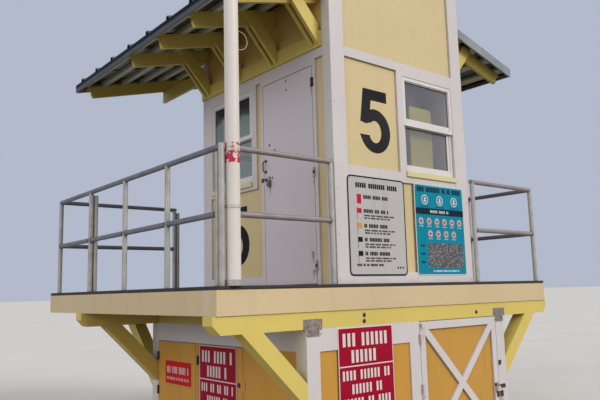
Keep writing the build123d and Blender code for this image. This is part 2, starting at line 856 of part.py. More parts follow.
with BuildPart() as porch_roof_sheets:
    ribbed_sheet(
        roof_plane(-RIDGE_GAP, BOARD, roof_middle),
        roof_length,
        (core_half - RIDGE_GAP) * plumb,
        RIB_COUNT,
    )
    block(
        (-hut_half, 0),
        (side_roof[0] - BOARD, hut_back + BOARD_JOINT),
        (DECK_HEIGHT, wall_top),
        Mode.SUBTRACT,
    )
    mirror(about=Plane.YZ)
save(porch_roof_sheets, "porch_roof_sheets")

edge_top = rafter_bottom(eave_x) + rafter_rise + BOARD * plumb
rake_start = eave_x + EDGE + BOARD_JOINT


def edge_height(x):
    """Height of the sheets' underside at x."""
    return edge_top + (x - eave_x) * slope


with BuildPart() as roof_edging:
    block((eave_x, eave_x + EDGE), side_roof, (edge_top - EAVE_EDGE_DEPTH, edge_top))
    for y, end in ((side_roof[0], -hut_half), (side_roof[1] - EDGE, -RIDGE_GAP)):
        beam_across(
            (y, y + EDGE),
            [
                (rake_start, edge_height(rake_start) - RAKE_EDGE_DEPTH),
                (end, edge_height(end) - RAKE_EDGE_DEPTH),
                (end, edge_height(end)),
                (rake_start, edge_height(rake_start)),
            ],
        )
    mirror(about=Plane.YZ)
save(roof_edging, "roof_edging")

# The hut's own roof
hut_roof_y = (hut_front - HUT_ROOF_OVERHANG, hut_back + HUT_ROOF_OVERHANG)
hut_eave = -core_half - HUT_ROOF_OVERHANG
ridge_z = wall_top + core_half * slope
hut_roof_length = -hut_eave * plumb

with BuildPart() as hut_roof_boards:
    beam_across(
        hut_roof_y,
        [
            (hut_eave, ridge_z + hut_eave * slope),
            (0, ridge_z),
            (-hut_eave, ridge_z + hut_eave * slope),
            (-hut_eave, ridge_z + hut_eave * slope + ROOF_DECK * plumb),
            (0, ridge_z + ROOF_DECK * plumb),
            (hut_eave, ridge_z + hut_eave * slope + ROOF_DECK * plumb),
        ],
    )
save(hut_roof_boards, "hut_roof_boards")

with BuildPart() as hut_roof_sheets:
    ribbed_sheet(
        Plane(
            origin=(
                -RIDGE_GAP,
                (hut_roof_y[0] + hut_roof_y[1]) / 2,
                ridge_z + ROOF_DECK * plumb - RIDGE_GAP * slope,
            ),
            x_dir=(0, -1, 0),
            z_dir=down,
        ),
        hut_roof_y[1] - hut_roof_y[0],
        hut_roof_length + DRIP,
        RIB_COUNT - 2,
    )
    mirror(about=Plane.YZ)
save(hut_roof_sheets, "hut_roof_sheets")

# Pipe rails round the deck: the front and side ones end in the posts at the front corners
pipe = PIPE / 2
bored = pipe + PIPE_GAP
rail_x = RAIL_INSET - half_width
rail_front = front + FRONT_RAIL_INSET
rail_back = deck_back - SEA_RAIL_INSET
pole_centre = (POLE_AT[0] - half_width, front + POLE_AT[1])
rail_heights = (DECK_HEIGHT + RAIL_HEIGHT, DECK_HEIGHT + MID_RAIL_HEIGHT)
strap_bottoms = [DECK_HEIGHT + level - STRAP_HEIGHT / 2 for level in STRAP_LEVELS]
spare_step = PIPE + SPARE_POST_GAP
corner_post = (rail_x, rail_front)
side_posts = [(rail_x, rail_front + bay * SIDE_BAY) for bay in (1, 2, 3)]
sea_corner_post = (rail_x, rail_back)
front_end_post = (-hut_half - FRONT_RAIL_GAP, rail_front)
sea_end_post = (SEA_RAIL_END - half_width, rail_back)
rail_bearers = [*side_posts, sea_corner_post, front_end_post, sea_end_post]
deck_plane = Plane.XY.offset(DECK_HEIGHT)


def side_rail(z, radius, mode=Mode.ADD):
    """One rail along the left side, between the middles of the corner posts."""
    round_bar(Plane.XZ.offset(-rail_front), [(rail_x, z)], radius, rail_front - rail_back, mode)


def cross_rail(y, end, z, radius, mode=Mode.ADD):
    """One rail from the middle of a corner post towards the middle of the tower."""
    round_bar(Plane.YZ.offset(rail_x), [(y, z)], radius, end - rail_x, mode)


def cut_at_posts():
    """Shape the rails' ends to the posts that they meet."""
    round_bar(deck_plane, rail_bearers, bored, MID_RAIL_HEIGHT + PIPE, Mode.SUBTRACT)
    round_bar(deck_plane, [corner_post], bored, RAIL_HEIGHT + PIPE, Mode.SUBTRACT)


def mitre(corner, inward, keep):
    """Cut the rails at a corner along the line that halves it."""
    split(bisect_by=Plane(origin=(*corner, 0), z_dir=(-1, inward, 0)), keep=keep)


# The heads of the posts under a top rail are shaped to it, and spare posts stand beside three of them
with BuildPart() as rail_posts:
    round_bar(deck_plane, rail_bearers, pipe, RAIL_HEIGHT)
    side_rail(rail_heights[0], bored, Mode.SUBTRACT)
    cross_rail(rail_front, front_end_post[0] + PIPE, rail_heights[0], bored, Mode.SUBTRACT)
    cross_rail(rail_back, sea_end_post[0] + PIPE, rail_heights[0], bored, Mode.SUBTRACT)
    round_bar(deck_plane, [corner_post], pipe, RAIL_HEIGHT + pipe)
    mirror(about=Plane.YZ)
    spare_posts = [
        (rail_x, rail_front + spare_step),
        (rail_x + spare_step, side_posts[-1][1]),
        (sea_end_post[0] + spare_step, rail_back),
    ]
    round_bar(deck_plane, spare_posts, pipe, SPARE_POST_HEIGHT)
save(rail_posts, "rail_posts")

with BuildPart() as side_rails:
    for z in rail_heights:
        side_rail(z, pipe)
    mitre(corner_post, 1, Keep.TOP)
    mitre(sea_corner_post, -1, Keep.TOP)
    cut_at_posts()
    mirror(about=Plane.YZ)
    round_bar(deck_plane, spare_posts[:1], bored, RAIL_HEIGHT - PIPE, Mode.SUBTRACT)
    block(
        (rail_x - pipe, rail_x + pipe),
        (rail_front, spare_posts[0][1]),
        above(0, RAIL_HEIGHT - PIPE),
        Mode.SUBTRACT,
    )
save(side_rails, "side_rails")

with BuildPart() as sea_rails:
    cross_rail(rail_back, sea_end_post[0] + pipe, rail_heights[0], pipe)
    cross_rail(rail_back, sea_end_post[0], rail_heights[1], pipe)
    mitre(sea_corner_post, -1, Keep.BOTTOM)
    cut_at_posts()
    mirror(about=Plane.YZ)
save(sea_rails, "sea_rails")

with BuildPart() as front_rails:
    cross_rail(rail_front, front_end_post[0] + pipe, rail_heights[0], pipe)
    cross_rail(rail_front, front_end_post[0], rail_heights[1], pipe)
    mitre(corner_post, 1, Keep.BOTTOM)
    cut_at_posts()
    mirror(about=Plane.YZ)
    block(
        (rail_x, pole_centre[0]),
        (rail_front - PIPE, rail_front + PIPE),
        above(0, RAIL_HEIGHT + PIPE),
        Mode.SUBTRACT,
    )
    round_bar(deck_plane, [pole_centre], POLE / 2 + PIPE_GAP, RAIL_HEIGHT + PIPE, Mode.SUBTRACT)
    for z in strap_bottoms:
        round_bar(
            Plane.XY.offset(z - PIPE_GAP),
            [pole_centre],
            POLE / 2 + STRAP + PIPE_GAP,
            STRAP_HEIGHT + 2 * PIPE_GAP,
            Mode.SUBTRACT,
        )
save(front_rails, "front_rails")

with BuildPart() as flag_pole:
    round_bar(deck_plane, [pole_centre], POLE / 2, POLE_HEIGHT)
    fillet(flag_pole.faces().sort_by(Axis.Z)[-1].edges(), POLE / 4)
save(flag_pole, "flag_pole")

with BuildPart() as pole_fittings:
    round_bar(deck_plane, [pole_centre], POLE / 2 + COLLAR, COLLAR_HEIGHT)
    for z in strap_bottoms:
        round_bar(Plane.XY.offset(z), [pole_centre], POLE / 2 + STRAP, STRAP_HEIGHT)
    round_bar(deck_plane, [pole_centre], POLE / 2, POLE_HEIGHT, Mode.SUBTRACT)
save(pole_fittings, "pole_fittings")

# Ladder at the gap in the back rails
ladder_slope = DECK_HEIGHT / LADDER_RUN
stringer_width = STRINGER_DEPTH * (1 + 1 / ladder_slope**2) ** 0.5
ladder_toe = deck_back + LADDER_HEAD + LADDER_RUN
stringer_x = (-LADDER_WIDTH / 2, -LADDER_WIDTH / 2 + BOARD)

with BuildPart() as ladder_stringers:
    beam_along(
        stringer_x,
        [
            (deck_back, DECK_HEIGHT),
            (deck_back + LADDER_HEAD, DECK_HEIGHT),
            (ladder_toe, 0),
            (ladder_toe - stringer_width, 0),
            (deck_back, (ladder_toe - stringer_width - deck_back) * ladder_slope),
        ],
    )
    mirror(about=Plane.YZ)
save(ladder_stringers, "ladder_stringers")

with BuildPart() as ladder_treads:
    for step in range(1, TREAD_COUNT + 1):
        z = DECK_HEIGHT * step / (TREAD_COUNT + 1)
        y = ladder_toe - z / ladder_slope
        block((stringer_x[1], -stringer_x[1]), (max(y - stringer_width, deck_back), y), (z - BOARD, z))
save(ladder_treads, "ladder_treads")
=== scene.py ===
# %% [markdown]
# # A lifeguard tower, dressed in Blender
# A lifeguard tower is a small timber hut on a raised deck, with a store below for boards and floats. Its
# timbers, rails, roofs, doors and hinges come from the construction model and stay exactly where they are.
# This lesson gives them their finish: paint that the salt air has chalked, boards, nails, bolts, signs,
# locks, tape and rust. Every length is in metres, Z is up, the numbered front faces -Y and the hut's door
# faces -X.

# %% Load the construction
import json
import math
import random

import bmesh
import bpy
from mathutils import Matrix, Vector

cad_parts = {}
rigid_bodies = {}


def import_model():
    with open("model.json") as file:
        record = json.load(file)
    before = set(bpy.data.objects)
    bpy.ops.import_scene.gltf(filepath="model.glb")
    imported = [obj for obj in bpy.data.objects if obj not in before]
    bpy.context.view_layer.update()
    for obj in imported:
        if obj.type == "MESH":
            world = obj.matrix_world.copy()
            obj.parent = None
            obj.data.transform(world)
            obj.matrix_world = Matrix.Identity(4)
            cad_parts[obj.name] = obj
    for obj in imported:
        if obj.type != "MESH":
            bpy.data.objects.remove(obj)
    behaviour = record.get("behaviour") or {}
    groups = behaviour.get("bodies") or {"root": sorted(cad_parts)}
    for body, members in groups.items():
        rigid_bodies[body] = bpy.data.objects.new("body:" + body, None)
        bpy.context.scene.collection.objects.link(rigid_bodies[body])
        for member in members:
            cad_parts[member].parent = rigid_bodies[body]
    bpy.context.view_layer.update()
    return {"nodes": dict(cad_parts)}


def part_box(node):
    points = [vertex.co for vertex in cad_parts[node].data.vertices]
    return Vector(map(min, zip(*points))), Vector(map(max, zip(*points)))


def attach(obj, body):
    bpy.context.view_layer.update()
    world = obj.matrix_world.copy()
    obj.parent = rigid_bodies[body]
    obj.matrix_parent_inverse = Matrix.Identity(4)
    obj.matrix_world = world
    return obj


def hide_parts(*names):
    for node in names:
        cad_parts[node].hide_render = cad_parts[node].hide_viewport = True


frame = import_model()
cad_nodes = frame["nodes"]
UP = Vector((0, 0, 1))

# %% [markdown]
# ## Where the viewer stands
# A camera could be aimed at the tower with a constraint, but then its roll and its aim hang together. Here
# the eye point, the lens and the three angles are known, so the camera's axes are worked out from them and
# written into its matrix. The eye is at standing height and looks up a little, which makes the hut lean
# back.

# %% Camera
LENS = 38.32
EYE = Vector((-4.7195, -6.211, 1.613))
HEADING = math.radians(39.27)
TILT = math.radians(8.17)
ROLL = math.radians(-1.49)

ahead = Vector((math.sin(HEADING) * math.cos(TILT), math.cos(HEADING) * math.cos(TILT), math.sin(TILT)))
level_right = Vector((math.cos(HEADING), -math.sin(HEADING), 0))
level_up = level_right.cross(ahead)
right = level_right * math.cos(ROLL) + level_up * math.sin(ROLL)
up = right.cross(ahead)
camera = bpy.data.objects.new("camera", bpy.data.cameras.new("camera"))
bpy.context.scene.collection.objects.link(camera)
camera.data.lens = LENS
camera.data.sensor_width = 36.0
camera.data.clip_end = 1000.0
camera.matrix_world = Matrix.Translation(EYE) @ Matrix((right, up, -ahead)).transposed().to_4x4()
bpy.context.scene.camera = camera
bpy.context.scene.view_settings.view_transform = "Standard"
print("camera looks along", [round(v, 3) for v in ahead])

# %% [markdown]
# ## Colours and nodes
# A painter names a colour as it looks, from 0 to 255, and Blender's shaders count light, so a colour is
# turned into light once, here. A finish is a small network of nodes on one Principled shader. Building a
# network by hand takes three lines for each node, so the class below has one short method for each thing
# that a finish is made of: cloudy patches, a range of values, sums, mixed colours, dirt and painted shade in
# the corners and wear on the edges.

# %% A colour as light
def paint(red, green, blue):
    """A colour from 0 to 255 as the eye reads it, in linear light, with full alpha."""
    def light(value):
        share = value / 255
        return share / 12.92 if share <= 0.04045 else ((share + 0.055) / 1.055) ** 2.4
    return (light(red), light(green), light(blue), 1.0)


print("mid grey as light:", [round(value, 3) for value in paint(128, 128, 128)])


# %% A finish, built node by node
def feed(tree, socket, value):
    """Gives a socket a value, or joins it to another node's output."""
    if isinstance(value, bpy.types.NodeSocket):
        tree.links.new(value, socket)
    else:
        socket.default_value = value


class Finish:
    """One material in the making. Each method adds its nodes and hands back an output."""

    def __init__(self, name):
        self.material = bpy.data.materials.new(name)
        self.material.use_nodes = True
        self.tree = self.material.node_tree
        self.shader = self.tree.nodes["Principled BSDF"]
        self.place = self.add("TexCoord").outputs["Object"]
        self.surface = self.add("NewGeometry")

    def add(self, kind, settings=None, inputs=None):
        """A shader node with its settings, its sockets fed by name or number."""
        node = self.tree.nodes.new("ShaderNode" + kind)
        for name, value in (settings or {}).items():
            setattr(node, name, value)
        for key, value in (inputs or {}).items():
            feed(self.tree, node.inputs[key], value)
        return node

    def maths(self, operation, first, second=0.0):
        """A sum, product, comparison or the like of two values."""
        return self.add("Math", {"operation": operation}, {0: first, 1: second}).outputs[0]

    def remap(self, value, low, high, to_low=0.0, to_high=1.0):
        """Turns the range low to high into to_low to to_high, and holds the ends."""
        inputs = {"Value": value, "From Min": low, "From Max": high, "To Min": to_low, "To Max": to_high}
        return self.add("MapRange", inputs=inputs).outputs[0]

    def mix(self, share, first, second, blend="MIX"):
        """The first colour where share is 0 and the second where it is 1."""
        settings = {"data_type": "RGBA", "blend_type": blend}
        return self.add("Mix", settings, {0: share, 6: first, 7: second}).outputs[2]

    def cloud(self, scale, stretch=(1, 1, 1), detail=3.0, shift=0.0):
        """Cloudy noise round 0.5. A stretch under 1 along an axis draws the cloud out along it."""
        spot = self.add("Mapping", inputs={"Vector": self.place, "Scale": stretch, "Location": (shift,) * 3})
        inputs = {"Vector": spot.outputs[0], "Scale": scale, "Detail": detail}
        return self.add("TexNoise", inputs=inputs).outputs[0]

    def corners(self, reach):
        """1 deep in the angle between two pieces and 0 in the open: the mask for painted shade in the
        corners, and for dirt.
        """
        open_share = self.add("AmbientOcclusion", {"samples": 4}, {"Distance": reach}).outputs["AO"]
        return self.remap(open_share, 0.92, 0.35)

    def edges(self, radius):
        """1 on an outer edge, where hands and weather rub the paint away, and 0 on a flat."""
        rounded = self.add("Bevel", {"samples": 4}, {"Radius": radius}).outputs[0]
        inputs = {0: rounded, 1: self.surface.outputs["True Normal"]}
        agree = self.add("VectorMath", {"operation": "DOT_PRODUCT"}, inputs).outputs["Value"]
        return self.remap(agree, 0.985, 0.8)

    def upright(self):
        """1 on a wall and 0 on a top or an underside."""
        lean = self.add("SeparateXYZ", inputs={0: self.surface.outputs["True Normal"]}).outputs[2]
        return self.remap(self.maths("ABSOLUTE", lean), 0.75, 0.35)

    def relief(self, height, distance, strength=1.0):
        """Bump of a real depth in metres, fed to the shader."""
        inputs = {"Strength": strength, "Distance": distance, "Height": height}
        feed(self.tree, self.shader.inputs["Normal"], self.add("Bump", inputs=inputs).outputs[0])

    def end(self, **sockets):
        """Feeds the shader's named sockets, an underscore for each space, and hands back the material."""
        for name, value in sockets.items():
            feed(self.tree, self.shader.inputs[name.replace("_", " ")], value)
        return self.material


def coat(finish, *names):
    """Puts a finish on construction nodes, in the material slots that they already have."""
    for name in names:
        for material_slot in cad_nodes[name].material_slots:
            material_slot.material = finish


print("a finish can have:", sorted(name for name in vars(Finish) if not name.startswith("_")))

# %% [markdown]
# ## The studio
# The tower is shown on its own, on a plain pale floor. One broad lamp stands for the open sky behind the
# viewer's right shoulder, so the numbered front is bright. A weaker, low one at the left keeps the door
# side from going dark, and the pale world fills in the rest. What the camera sees and what lights the paint
# are two different things, so the Light Path node keeps them apart: the backdrop and the floor look pale,
# and yet throw little light up under the deck and the roofs, where the timbers of a real tower are dark.

# %% Floor and backdrop
BACKDROP = paint(178, 186, 203)
FLOOR = paint(206, 202, 197)
FLOOR_BOUNCE = paint(104, 98, 88)
FLOOR_REACH = 400.0
SKY_LIGHT = 0.65


def seen_directly(tree):
    """1 where the camera, a reflection or a pane looks, and 0 for the light that falls on things."""
    path = tree.nodes.new("ShaderNodeLightPath")
    seen = path.outputs["Is Camera Ray"]
    for ray in ("Is Glossy Ray", "Is Transmission Ray"):
        either = tree.nodes.new("ShaderNodeMath")
        either.operation = "MAXIMUM"
        tree.links.new(seen, either.inputs[0])
        tree.links.new(path.outputs[ray], either.inputs[1])
        seen = either.outputs[0]
    return seen


def make_floor():
    """A broad level sheet at the foot of the tower."""
    mesh = bpy.data.meshes.new("studio_floor")
    reach = FLOOR_REACH
    corners = [(-reach, -reach, 0), (reach, -reach, 0), (reach, reach, 0), (-reach, reach, 0)]
    mesh.from_pydata(corners, [], [(0, 1, 2, 3)])
    floor = bpy.data.objects.new("studio_floor", mesh)
    bpy.context.scene.collection.objects.link(floor)
    look = Finish("floor_paint")
    shown = look.mix(1.0, FLOOR, look.remap(look.cloud(0.6), 0.3, 0.7, 0.97, 1.03), "MULTIPLY")
    tone = look.mix(seen_directly(look.tree), FLOOR_BOUNCE, shown)
    mesh.materials.append(look.end(Base_Color=tone, Roughness=0.9))


def make_world():
    """Plain light from all round, and a pale backdrop for the camera, for gloss and for glass."""
    world = bpy.data.worlds.new("studio")
    bpy.context.scene.world = world
    world.use_nodes = True
    tree = world.node_tree
    tree.nodes.clear()
    light = tree.nodes.new("ShaderNodeBackground")
    light.inputs["Color"].default_value = (0.96, 0.98, 1.0, 1.0)
    light.inputs["Strength"].default_value = SKY_LIGHT
    backdrop = tree.nodes.new("ShaderNodeBackground")
    backdrop.inputs["Color"].default_value = BACKDROP
    chosen = tree.nodes.new("ShaderNodeMixShader")
    tree.links.new(seen_directly(tree), chosen.inputs[0])
    tree.links.new(light.outputs[0], chosen.inputs[1])
    tree.links.new(backdrop.outputs[0], chosen.inputs[2])
    tree.links.new(chosen.outputs[0], tree.nodes.new("ShaderNodeOutputWorld").inputs[0])


make_floor()
make_world()
print("light from all round:", SKY_LIGHT)

# %% Lamps
LAMPS = {
    "broad_lamp": (1.85, 24, (1.0, 0.975, 0.94), (0.36, -0.84, 0.58)),
    "side_lamp": (0.82, 40, (0.94, 0.96, 1.0), (-0.93, -0.20, 0.30))}


def make_lamps():
    """Each lamp's strength, the angle that it fills, its colour and the direction that it shines from."""
    for name, (strength, spread_angle, colour, direction) in LAMPS.items():
        lamp = bpy.data.lights.new(name, "SUN")
        lamp.energy = strength
        lamp.angle = math.radians(spread_angle)
        lamp.color = colour
        holder = bpy.data.objects.new(name, lamp)
        holder.rotation_euler = Vector(direction).to_track_quat("Z", "Y").to_euler()
        bpy.context.scene.collection.objects.link(holder)


make_lamps()
print("lamps:", sorted(LAMPS))

# %% [markdown]
# ## Paint that has stood in salt air
# Outdoor paint is never one colour. It chalks in broad pale patches, rain draws faint grey streaks down it,
# every inner corner is darkened, as dirt and as painted shade, and on the outer edges it rubs through to the
# grey primer. A picture of old paint could be stretched over the boards, but it would repeat and it would
# not know where the corners are. So the finish is mixed from the piece's own shape: the corner and edge
# nodes find the places, and cloudy noise breaks them up.

# %% Weathered paint
RUST_STAIN = paint(128, 66, 34)
PRIMER_GREY = paint(120, 112, 104)
RAIN_SHARE = 0.42
# The share of a colour's light left in its inner corners, which are darkened as dirt and as painted shade.
DIRT_AND_SHADE_SHARE = 0.2


def darker(colour, share):
    """A share of a colour's light."""
    return tuple(share * channel for channel in colour[:3]) + (1.0,)


def chalked(look, colour, deeper_above):
    """The paint's own colour, chalked in broad patches and brushed in fine ones."""
    chalk = look.remap(look.cloud(0.9, detail=4.0), 0.35, 0.7, 0.95, 1.03)
    brushed = look.remap(look.cloud(30, (1, 1, 0.4), 2.0), 0.3, 0.7, 0.985, 1.01)
    base = colour
    # Above a given height the paint takes a deeper, warmer colour.
    if deeper_above:
        level, deeper_colour = deeper_above
        height = look.add("SeparateXYZ", inputs={0: look.place}).outputs[2]
        base = look.mix(look.remap(height, level - 0.02, level + 0.06), colour, deeper_colour)
    return look.mix(1.0, base, look.maths("MULTIPLY", chalk, brushed), "MULTIPLY")


def weathered(name, colour, under=PRIMER_GREY, dirt_and_shade=0.35, wear=0.55, streaks=0.3, rough=0.55, runs=(),
              stain=RUST_STAIN, deeper_above=None):
    """Paint on timber. The darkening of the inner corners, as dirt and as painted shade, the wear and the
    streaks are each from 0 to 1, and runs are places where a stain has run down. The last argument is a
    height and the deeper, warmer colour that the paint takes above it."""
    look = Finish(name)
    tone = chalked(look, colour, deeper_above)
    rain = look.remap(look.cloud(6, (1, 1, 0.08), 3.0, 4.0), 0.55, 0.8)
    rain = look.maths("MULTIPLY", look.maths("MULTIPLY", rain, look.upright()), streaks)
    tone = look.mix(rain, tone, darker(colour, RAIN_SHARE))
    # The corners darken by the occlusion mask under a cloud: partly dirt, partly painted shade.
    corner_dirt_and_shade = look.remap(look.cloud(5.5, detail=5.0, shift=2.0), 0.3, 0.65, 0.25, 1.0)
    corner_dirt_and_shade = look.maths("MULTIPLY", look.maths("MULTIPLY", look.corners(0.07), corner_dirt_and_shade), dirt_and_shade)
    tone = look.mix(corner_dirt_and_shade, tone, darker(colour, DIRT_AND_SHADE_SHARE))
    if runs:
        tone = look.mix(rust_below(look, runs), tone, stain)
    chips = look.remap(look.cloud(55, detail=4.0, shift=7.0), 0.5, 0.62)
    rubbed = look.maths("MULTIPLY", look.maths("MULTIPLY", look.edges(0.006), chips), wear)
    tone = look.mix(rubbed, tone, under)
    brush_marks = look.cloud(90, (1, 1, 0.3), 2.0, 3.0)
    look.relief(look.maths("SUBTRACT", brush_marks, look.maths("MULTIPLY", rubbed, 0.8)), 0.0004, 0.4)
    gloss = look.remap(look.cloud(3.0, shift=9.0), 0.3, 0.7, rough - 0.08, rough + 0.12)
    return look.end(Base_Color=tone, Roughness=gloss, Specular_IOR_Level=0.35)


print("share of the light left by rain and by soil:", RAIN_SHARE, DIRT_AND_SHADE_SHARE)

# %% [markdown]
# Salt air rusts the hinges and the nails, and the rain carries that rust down the white paint. Each run
# starts at a known place, so the shader measures how far a point lies below it and to its side, and cloud
# frays the stain. This is cheaper than a painted mask for each door, and the stain moves with the paint
# when a door swings.

# %% Rust that has run down
HINGE_RUN = (0.026, 0.12)


def rust_below(look, runs):
    """1 at each run's head (x, y, z, width, length), fading down and sideways."""
    spot = look.add("SeparateXYZ", inputs={0: look.place}).outputs
    ragged = look.remap(look.cloud(38, (1, 1, 0.3), 4.0, 1.5), 0.38, 0.62)
    total = 0.0
    for x, y, z, width, length in runs:
        aside_x = look.maths("ABSOLUTE", look.maths("SUBTRACT", spot[0], x))
        aside_y = look.maths("ABSOLUTE", look.maths("SUBTRACT", spot[1], y))
        narrow = look.remap(look.maths("ADD", aside_x, aside_y), width * 0.25, width, 1.0, 0.0)
        below = look.maths("SUBTRACT", z, spot[2])
        started = look.remap(below, -0.008, 0.0)
        fade = look.maths("MULTIPLY", started, look.remap(below, 0.0, length, 1.0, 0.0))
        total = look.maths("MAXIMUM", total, look.maths("MULTIPLY", narrow, fade))
    return look.maths("MULTIPLY", total, ragged)


print("a run under a hinge:", HINGE_RUN[0], "wide and", HINGE_RUN[1], "long")


# %% Places where rust runs, under the hinges
def box_round(points):
    """The lowest and the highest corner of some points."""
    low = Vector([min(point[axis] for point in points) for axis in range(3)])
    high = Vector([max(point[axis] for point in points) for axis in range(3)])
    return low, high


def solid_boxes(name):
    """The box of each separate solid of a construction node, sorted by place."""
    owner = {}
    mesh = cad_nodes[name].data
    keys = [tuple(round(c, 5) for c in vertex.co) for vertex in mesh.vertices]

    def root(key):
        while owner[key] != key:
            owner[key] = owner[owner[key]]
            key = owner[key]
        return key

    for key in keys:
        owner.setdefault(key, key)
    for face in mesh.polygons:
        first, *others = [keys[index] for index in face.vertices]
        for other in others:
            owner[root(other)] = root(first)
    groups = {}
    for key in owner:
        groups.setdefault(root(key), []).append(key)
    return sorted((box_round(points) for points in groups.values()), key=lambda box: tuple(box[0]))


def under_hinges(*hinge_nodes):
    """A run under each hinge plate of these nodes."""
    runs = []
    for name in hinge_nodes:
        for low, high in solid_boxes(name):
            runs.append(((low.x + high.x) / 2, (low.y + high.y) / 2, low.z, *HINGE_RUN))
    return runs


FRONT_RUNS = (
    (0.045, -2.155, 1.28, 0.05, 0.16),
    (0.03, -2.155, 0.62, 0.05, 0.22),
    (1.245, -2.155, 0.50, 0.06, 0.30))
DOOR_RUNS = (
    (-0.9625, -1.79, 1.97, 0.035, 0.12),
    (-0.9625, -1.79, 1.80, 0.03, 0.10),
    (-0.9625, -1.15, 2.66, 0.02, 0.10))
door_runs = under_hinges("front_door_hinges", "hut_door_hinges") + list(FRONT_RUNS + DOOR_RUNS)
print("places where rust runs:", len(door_runs))

# %% [markdown]
# ## The tower's paints
# The white trim, the pale yellow hut, the lemon timbers that carry the deck and the roof, the buff fascia
# and the orange store are all the same weathered paint in other colours, so each is one line. The white is
# an old one that has gone a little pink and grey. The trim and the store, which hands touch, are worn the
# most. Above a height under the roof, the paint of the hut's sides turns a deeper, warmer yellow.

# %% White, yellow, lemon, buff and orange
WHITE_PRIMER = paint(150, 142, 132)
YELLOW_PRIMER = paint(150, 138, 118)
HUT_YELLOW = paint(217, 195, 148)
# The height above which the hut's sides turn a deeper, warmer yellow, and that yellow.
UNDER_ROOF = (4.01, paint(238, 200, 122))
FASCIA_STREAK = (-2.2225, -2.018, 1.70, 0.06, 1.6)

white_paint = weathered("worn_white_paint", paint(214, 206, 205), WHITE_PRIMER, 0.4, 0.7, 0.1, 0.5,
                        door_runs)
door_paint = weathered("grey_white_door_paint", paint(214, 204, 209), paint(150, 142, 136), 0.35, 0.6, 0.1,
                       0.5, door_runs)
sash_paint = weathered("window_white_paint", paint(226, 220, 218), WHITE_PRIMER, 0.45, 0.7, 0.1, 0.45)
hut_paint = weathered("pale_yellow_paint", HUT_YELLOW, YELLOW_PRIMER, 0.35, 0.4, 0.08)
side_paint = weathered("side_yellow_paint", HUT_YELLOW, YELLOW_PRIMER, 0.35, 0.4, 0.08, deeper_above=UNDER_ROOF)
sill_paint = weathered("pale_sill_paint", paint(222, 210, 156), YELLOW_PRIMER, 0.35, 0.5, 0.05)
lemon_paint = weathered("lemon_paint", paint(219, 196, 104), paint(140, 122, 84), 0.4, 0.6, 0.08)
fascia_paint = weathered("buff_paint", paint(213, 190, 150), paint(150, 136, 112), 0.3, 0.5, 0.12,
                         runs=(FASCIA_STREAK,), stain=paint(206, 200, 188))
store_paint = weathered("orange_ochre_paint", paint(206, 150, 62), paint(120, 96, 66), 0.45, 0.7, 0.3)
store_door_paint = weathered("brown_ochre_paint", paint(199, 149, 65), paint(120, 96, 66), 0.45, 0.7, 0.3)
purlin_paint = weathered("grey_green_paint", paint(206, 214, 200), paint(120, 122, 116), 0.4, 0.5, 0.2)
pole_paint = weathered("white_pole_paint", paint(228, 219, 211), paint(138, 128, 118), 0.25, 0.4, 0.12, 0.4)

coat(white_paint, "base_posts", "base_sills", "base_headers", "hut_corner_boards", "hut_bands")
coat(white_paint, "window_casings", "door_casing", "front_door_frame")
coat(sash_paint, "window_sashes")
coat(door_paint, "hut_door")
coat(hut_paint, "hut_wall_front", "hut_wall_sea", "hut_roof_boards")
coat(side_paint, "hut_wall_door_near", "hut_wall_door_head", "hut_wall_door_far", "hut_wall_right")
coat(sill_paint, "window_sills")
coat(lemon_paint, "girders", "side_plates", "knee_braces")
coat(lemon_paint, "roof_ledgers", "roof_beams", "rafters", "roof_braces")
coat(fascia_paint, "deck_fascia")
coat(store_paint, "base_panels", "side_door_far", "side_door_near")
coat(store_door_paint, "front_door_panel")
coat(purlin_paint, "purlins")
coat(pole_paint, "flag_pole")
print("paints:", sorted(material.name for material in bpy.data.materials))

# %% [markdown]
# ## Pipe, zinc and rusty steel
# The rails are dull weathered pipe, the plates on the posts are galvanised and show the grey spangle of the
# zinc, and the store's side hinges and the leaf halves of the hut door's are black steel that has rusted.
# The frame halves of the hut door's hinges and both halves of the front locker's were painted white with the
# trim, and only the topmost has lost that coat. One finish for all metal would need a switch for each of
# these, so pipe, zinc and rusty steel are three short ones. The side and sea rails take a darker, bluer copy
# of the pipe finish, as painted shade.

# %% Weathered pipe
def pipe_finish(name, colour, rough, metal, above=None):
    """Weathered metal. above is a height and the coat of what lies over it."""
    look = Finish(name)
    if above:
        height = look.add("SeparateXYZ", inputs={0: look.place}).outputs[2]
        colour = look.mix(look.maths("GREATER_THAN", height, above[0]), colour, above[1])
    blotches = look.remap(look.cloud(9, detail=5.0), 0.3, 0.7, 0.82, 1.1)
    pits = look.remap(look.cloud(120, detail=2.0, shift=3.0), 0.58, 0.7)
    tone = look.mix(1.0, colour, blotches, "MULTIPLY")
    tone = look.mix(look.maths("MULTIPLY", pits, 0.5), tone, paint(92, 84, 76))
    # The corners darken by the occlusion mask: a painted shade where the pipe meets other parts.
    tone = look.mix(look.maths("MULTIPLY", look.corners(0.03), 0.6), tone, paint(84, 72, 60))
    look.relief(look.cloud(220, detail=2.0), 0.0004, 0.5)
    gloss = look.remap(look.cloud(14, shift=5.0), 0.3, 0.7, rough - 0.08, rough + 0.14)
    return look.end(Base_Color=tone, Roughness=gloss, Metallic=metal)


pipe_metal = pipe_finish("weathered_pipe", paint(180, 176, 170), 0.5, 0.25)
front_pipe_metal = pipe_finish("weathered_front_pipe", paint(148, 140, 137), 0.5, 0.25)
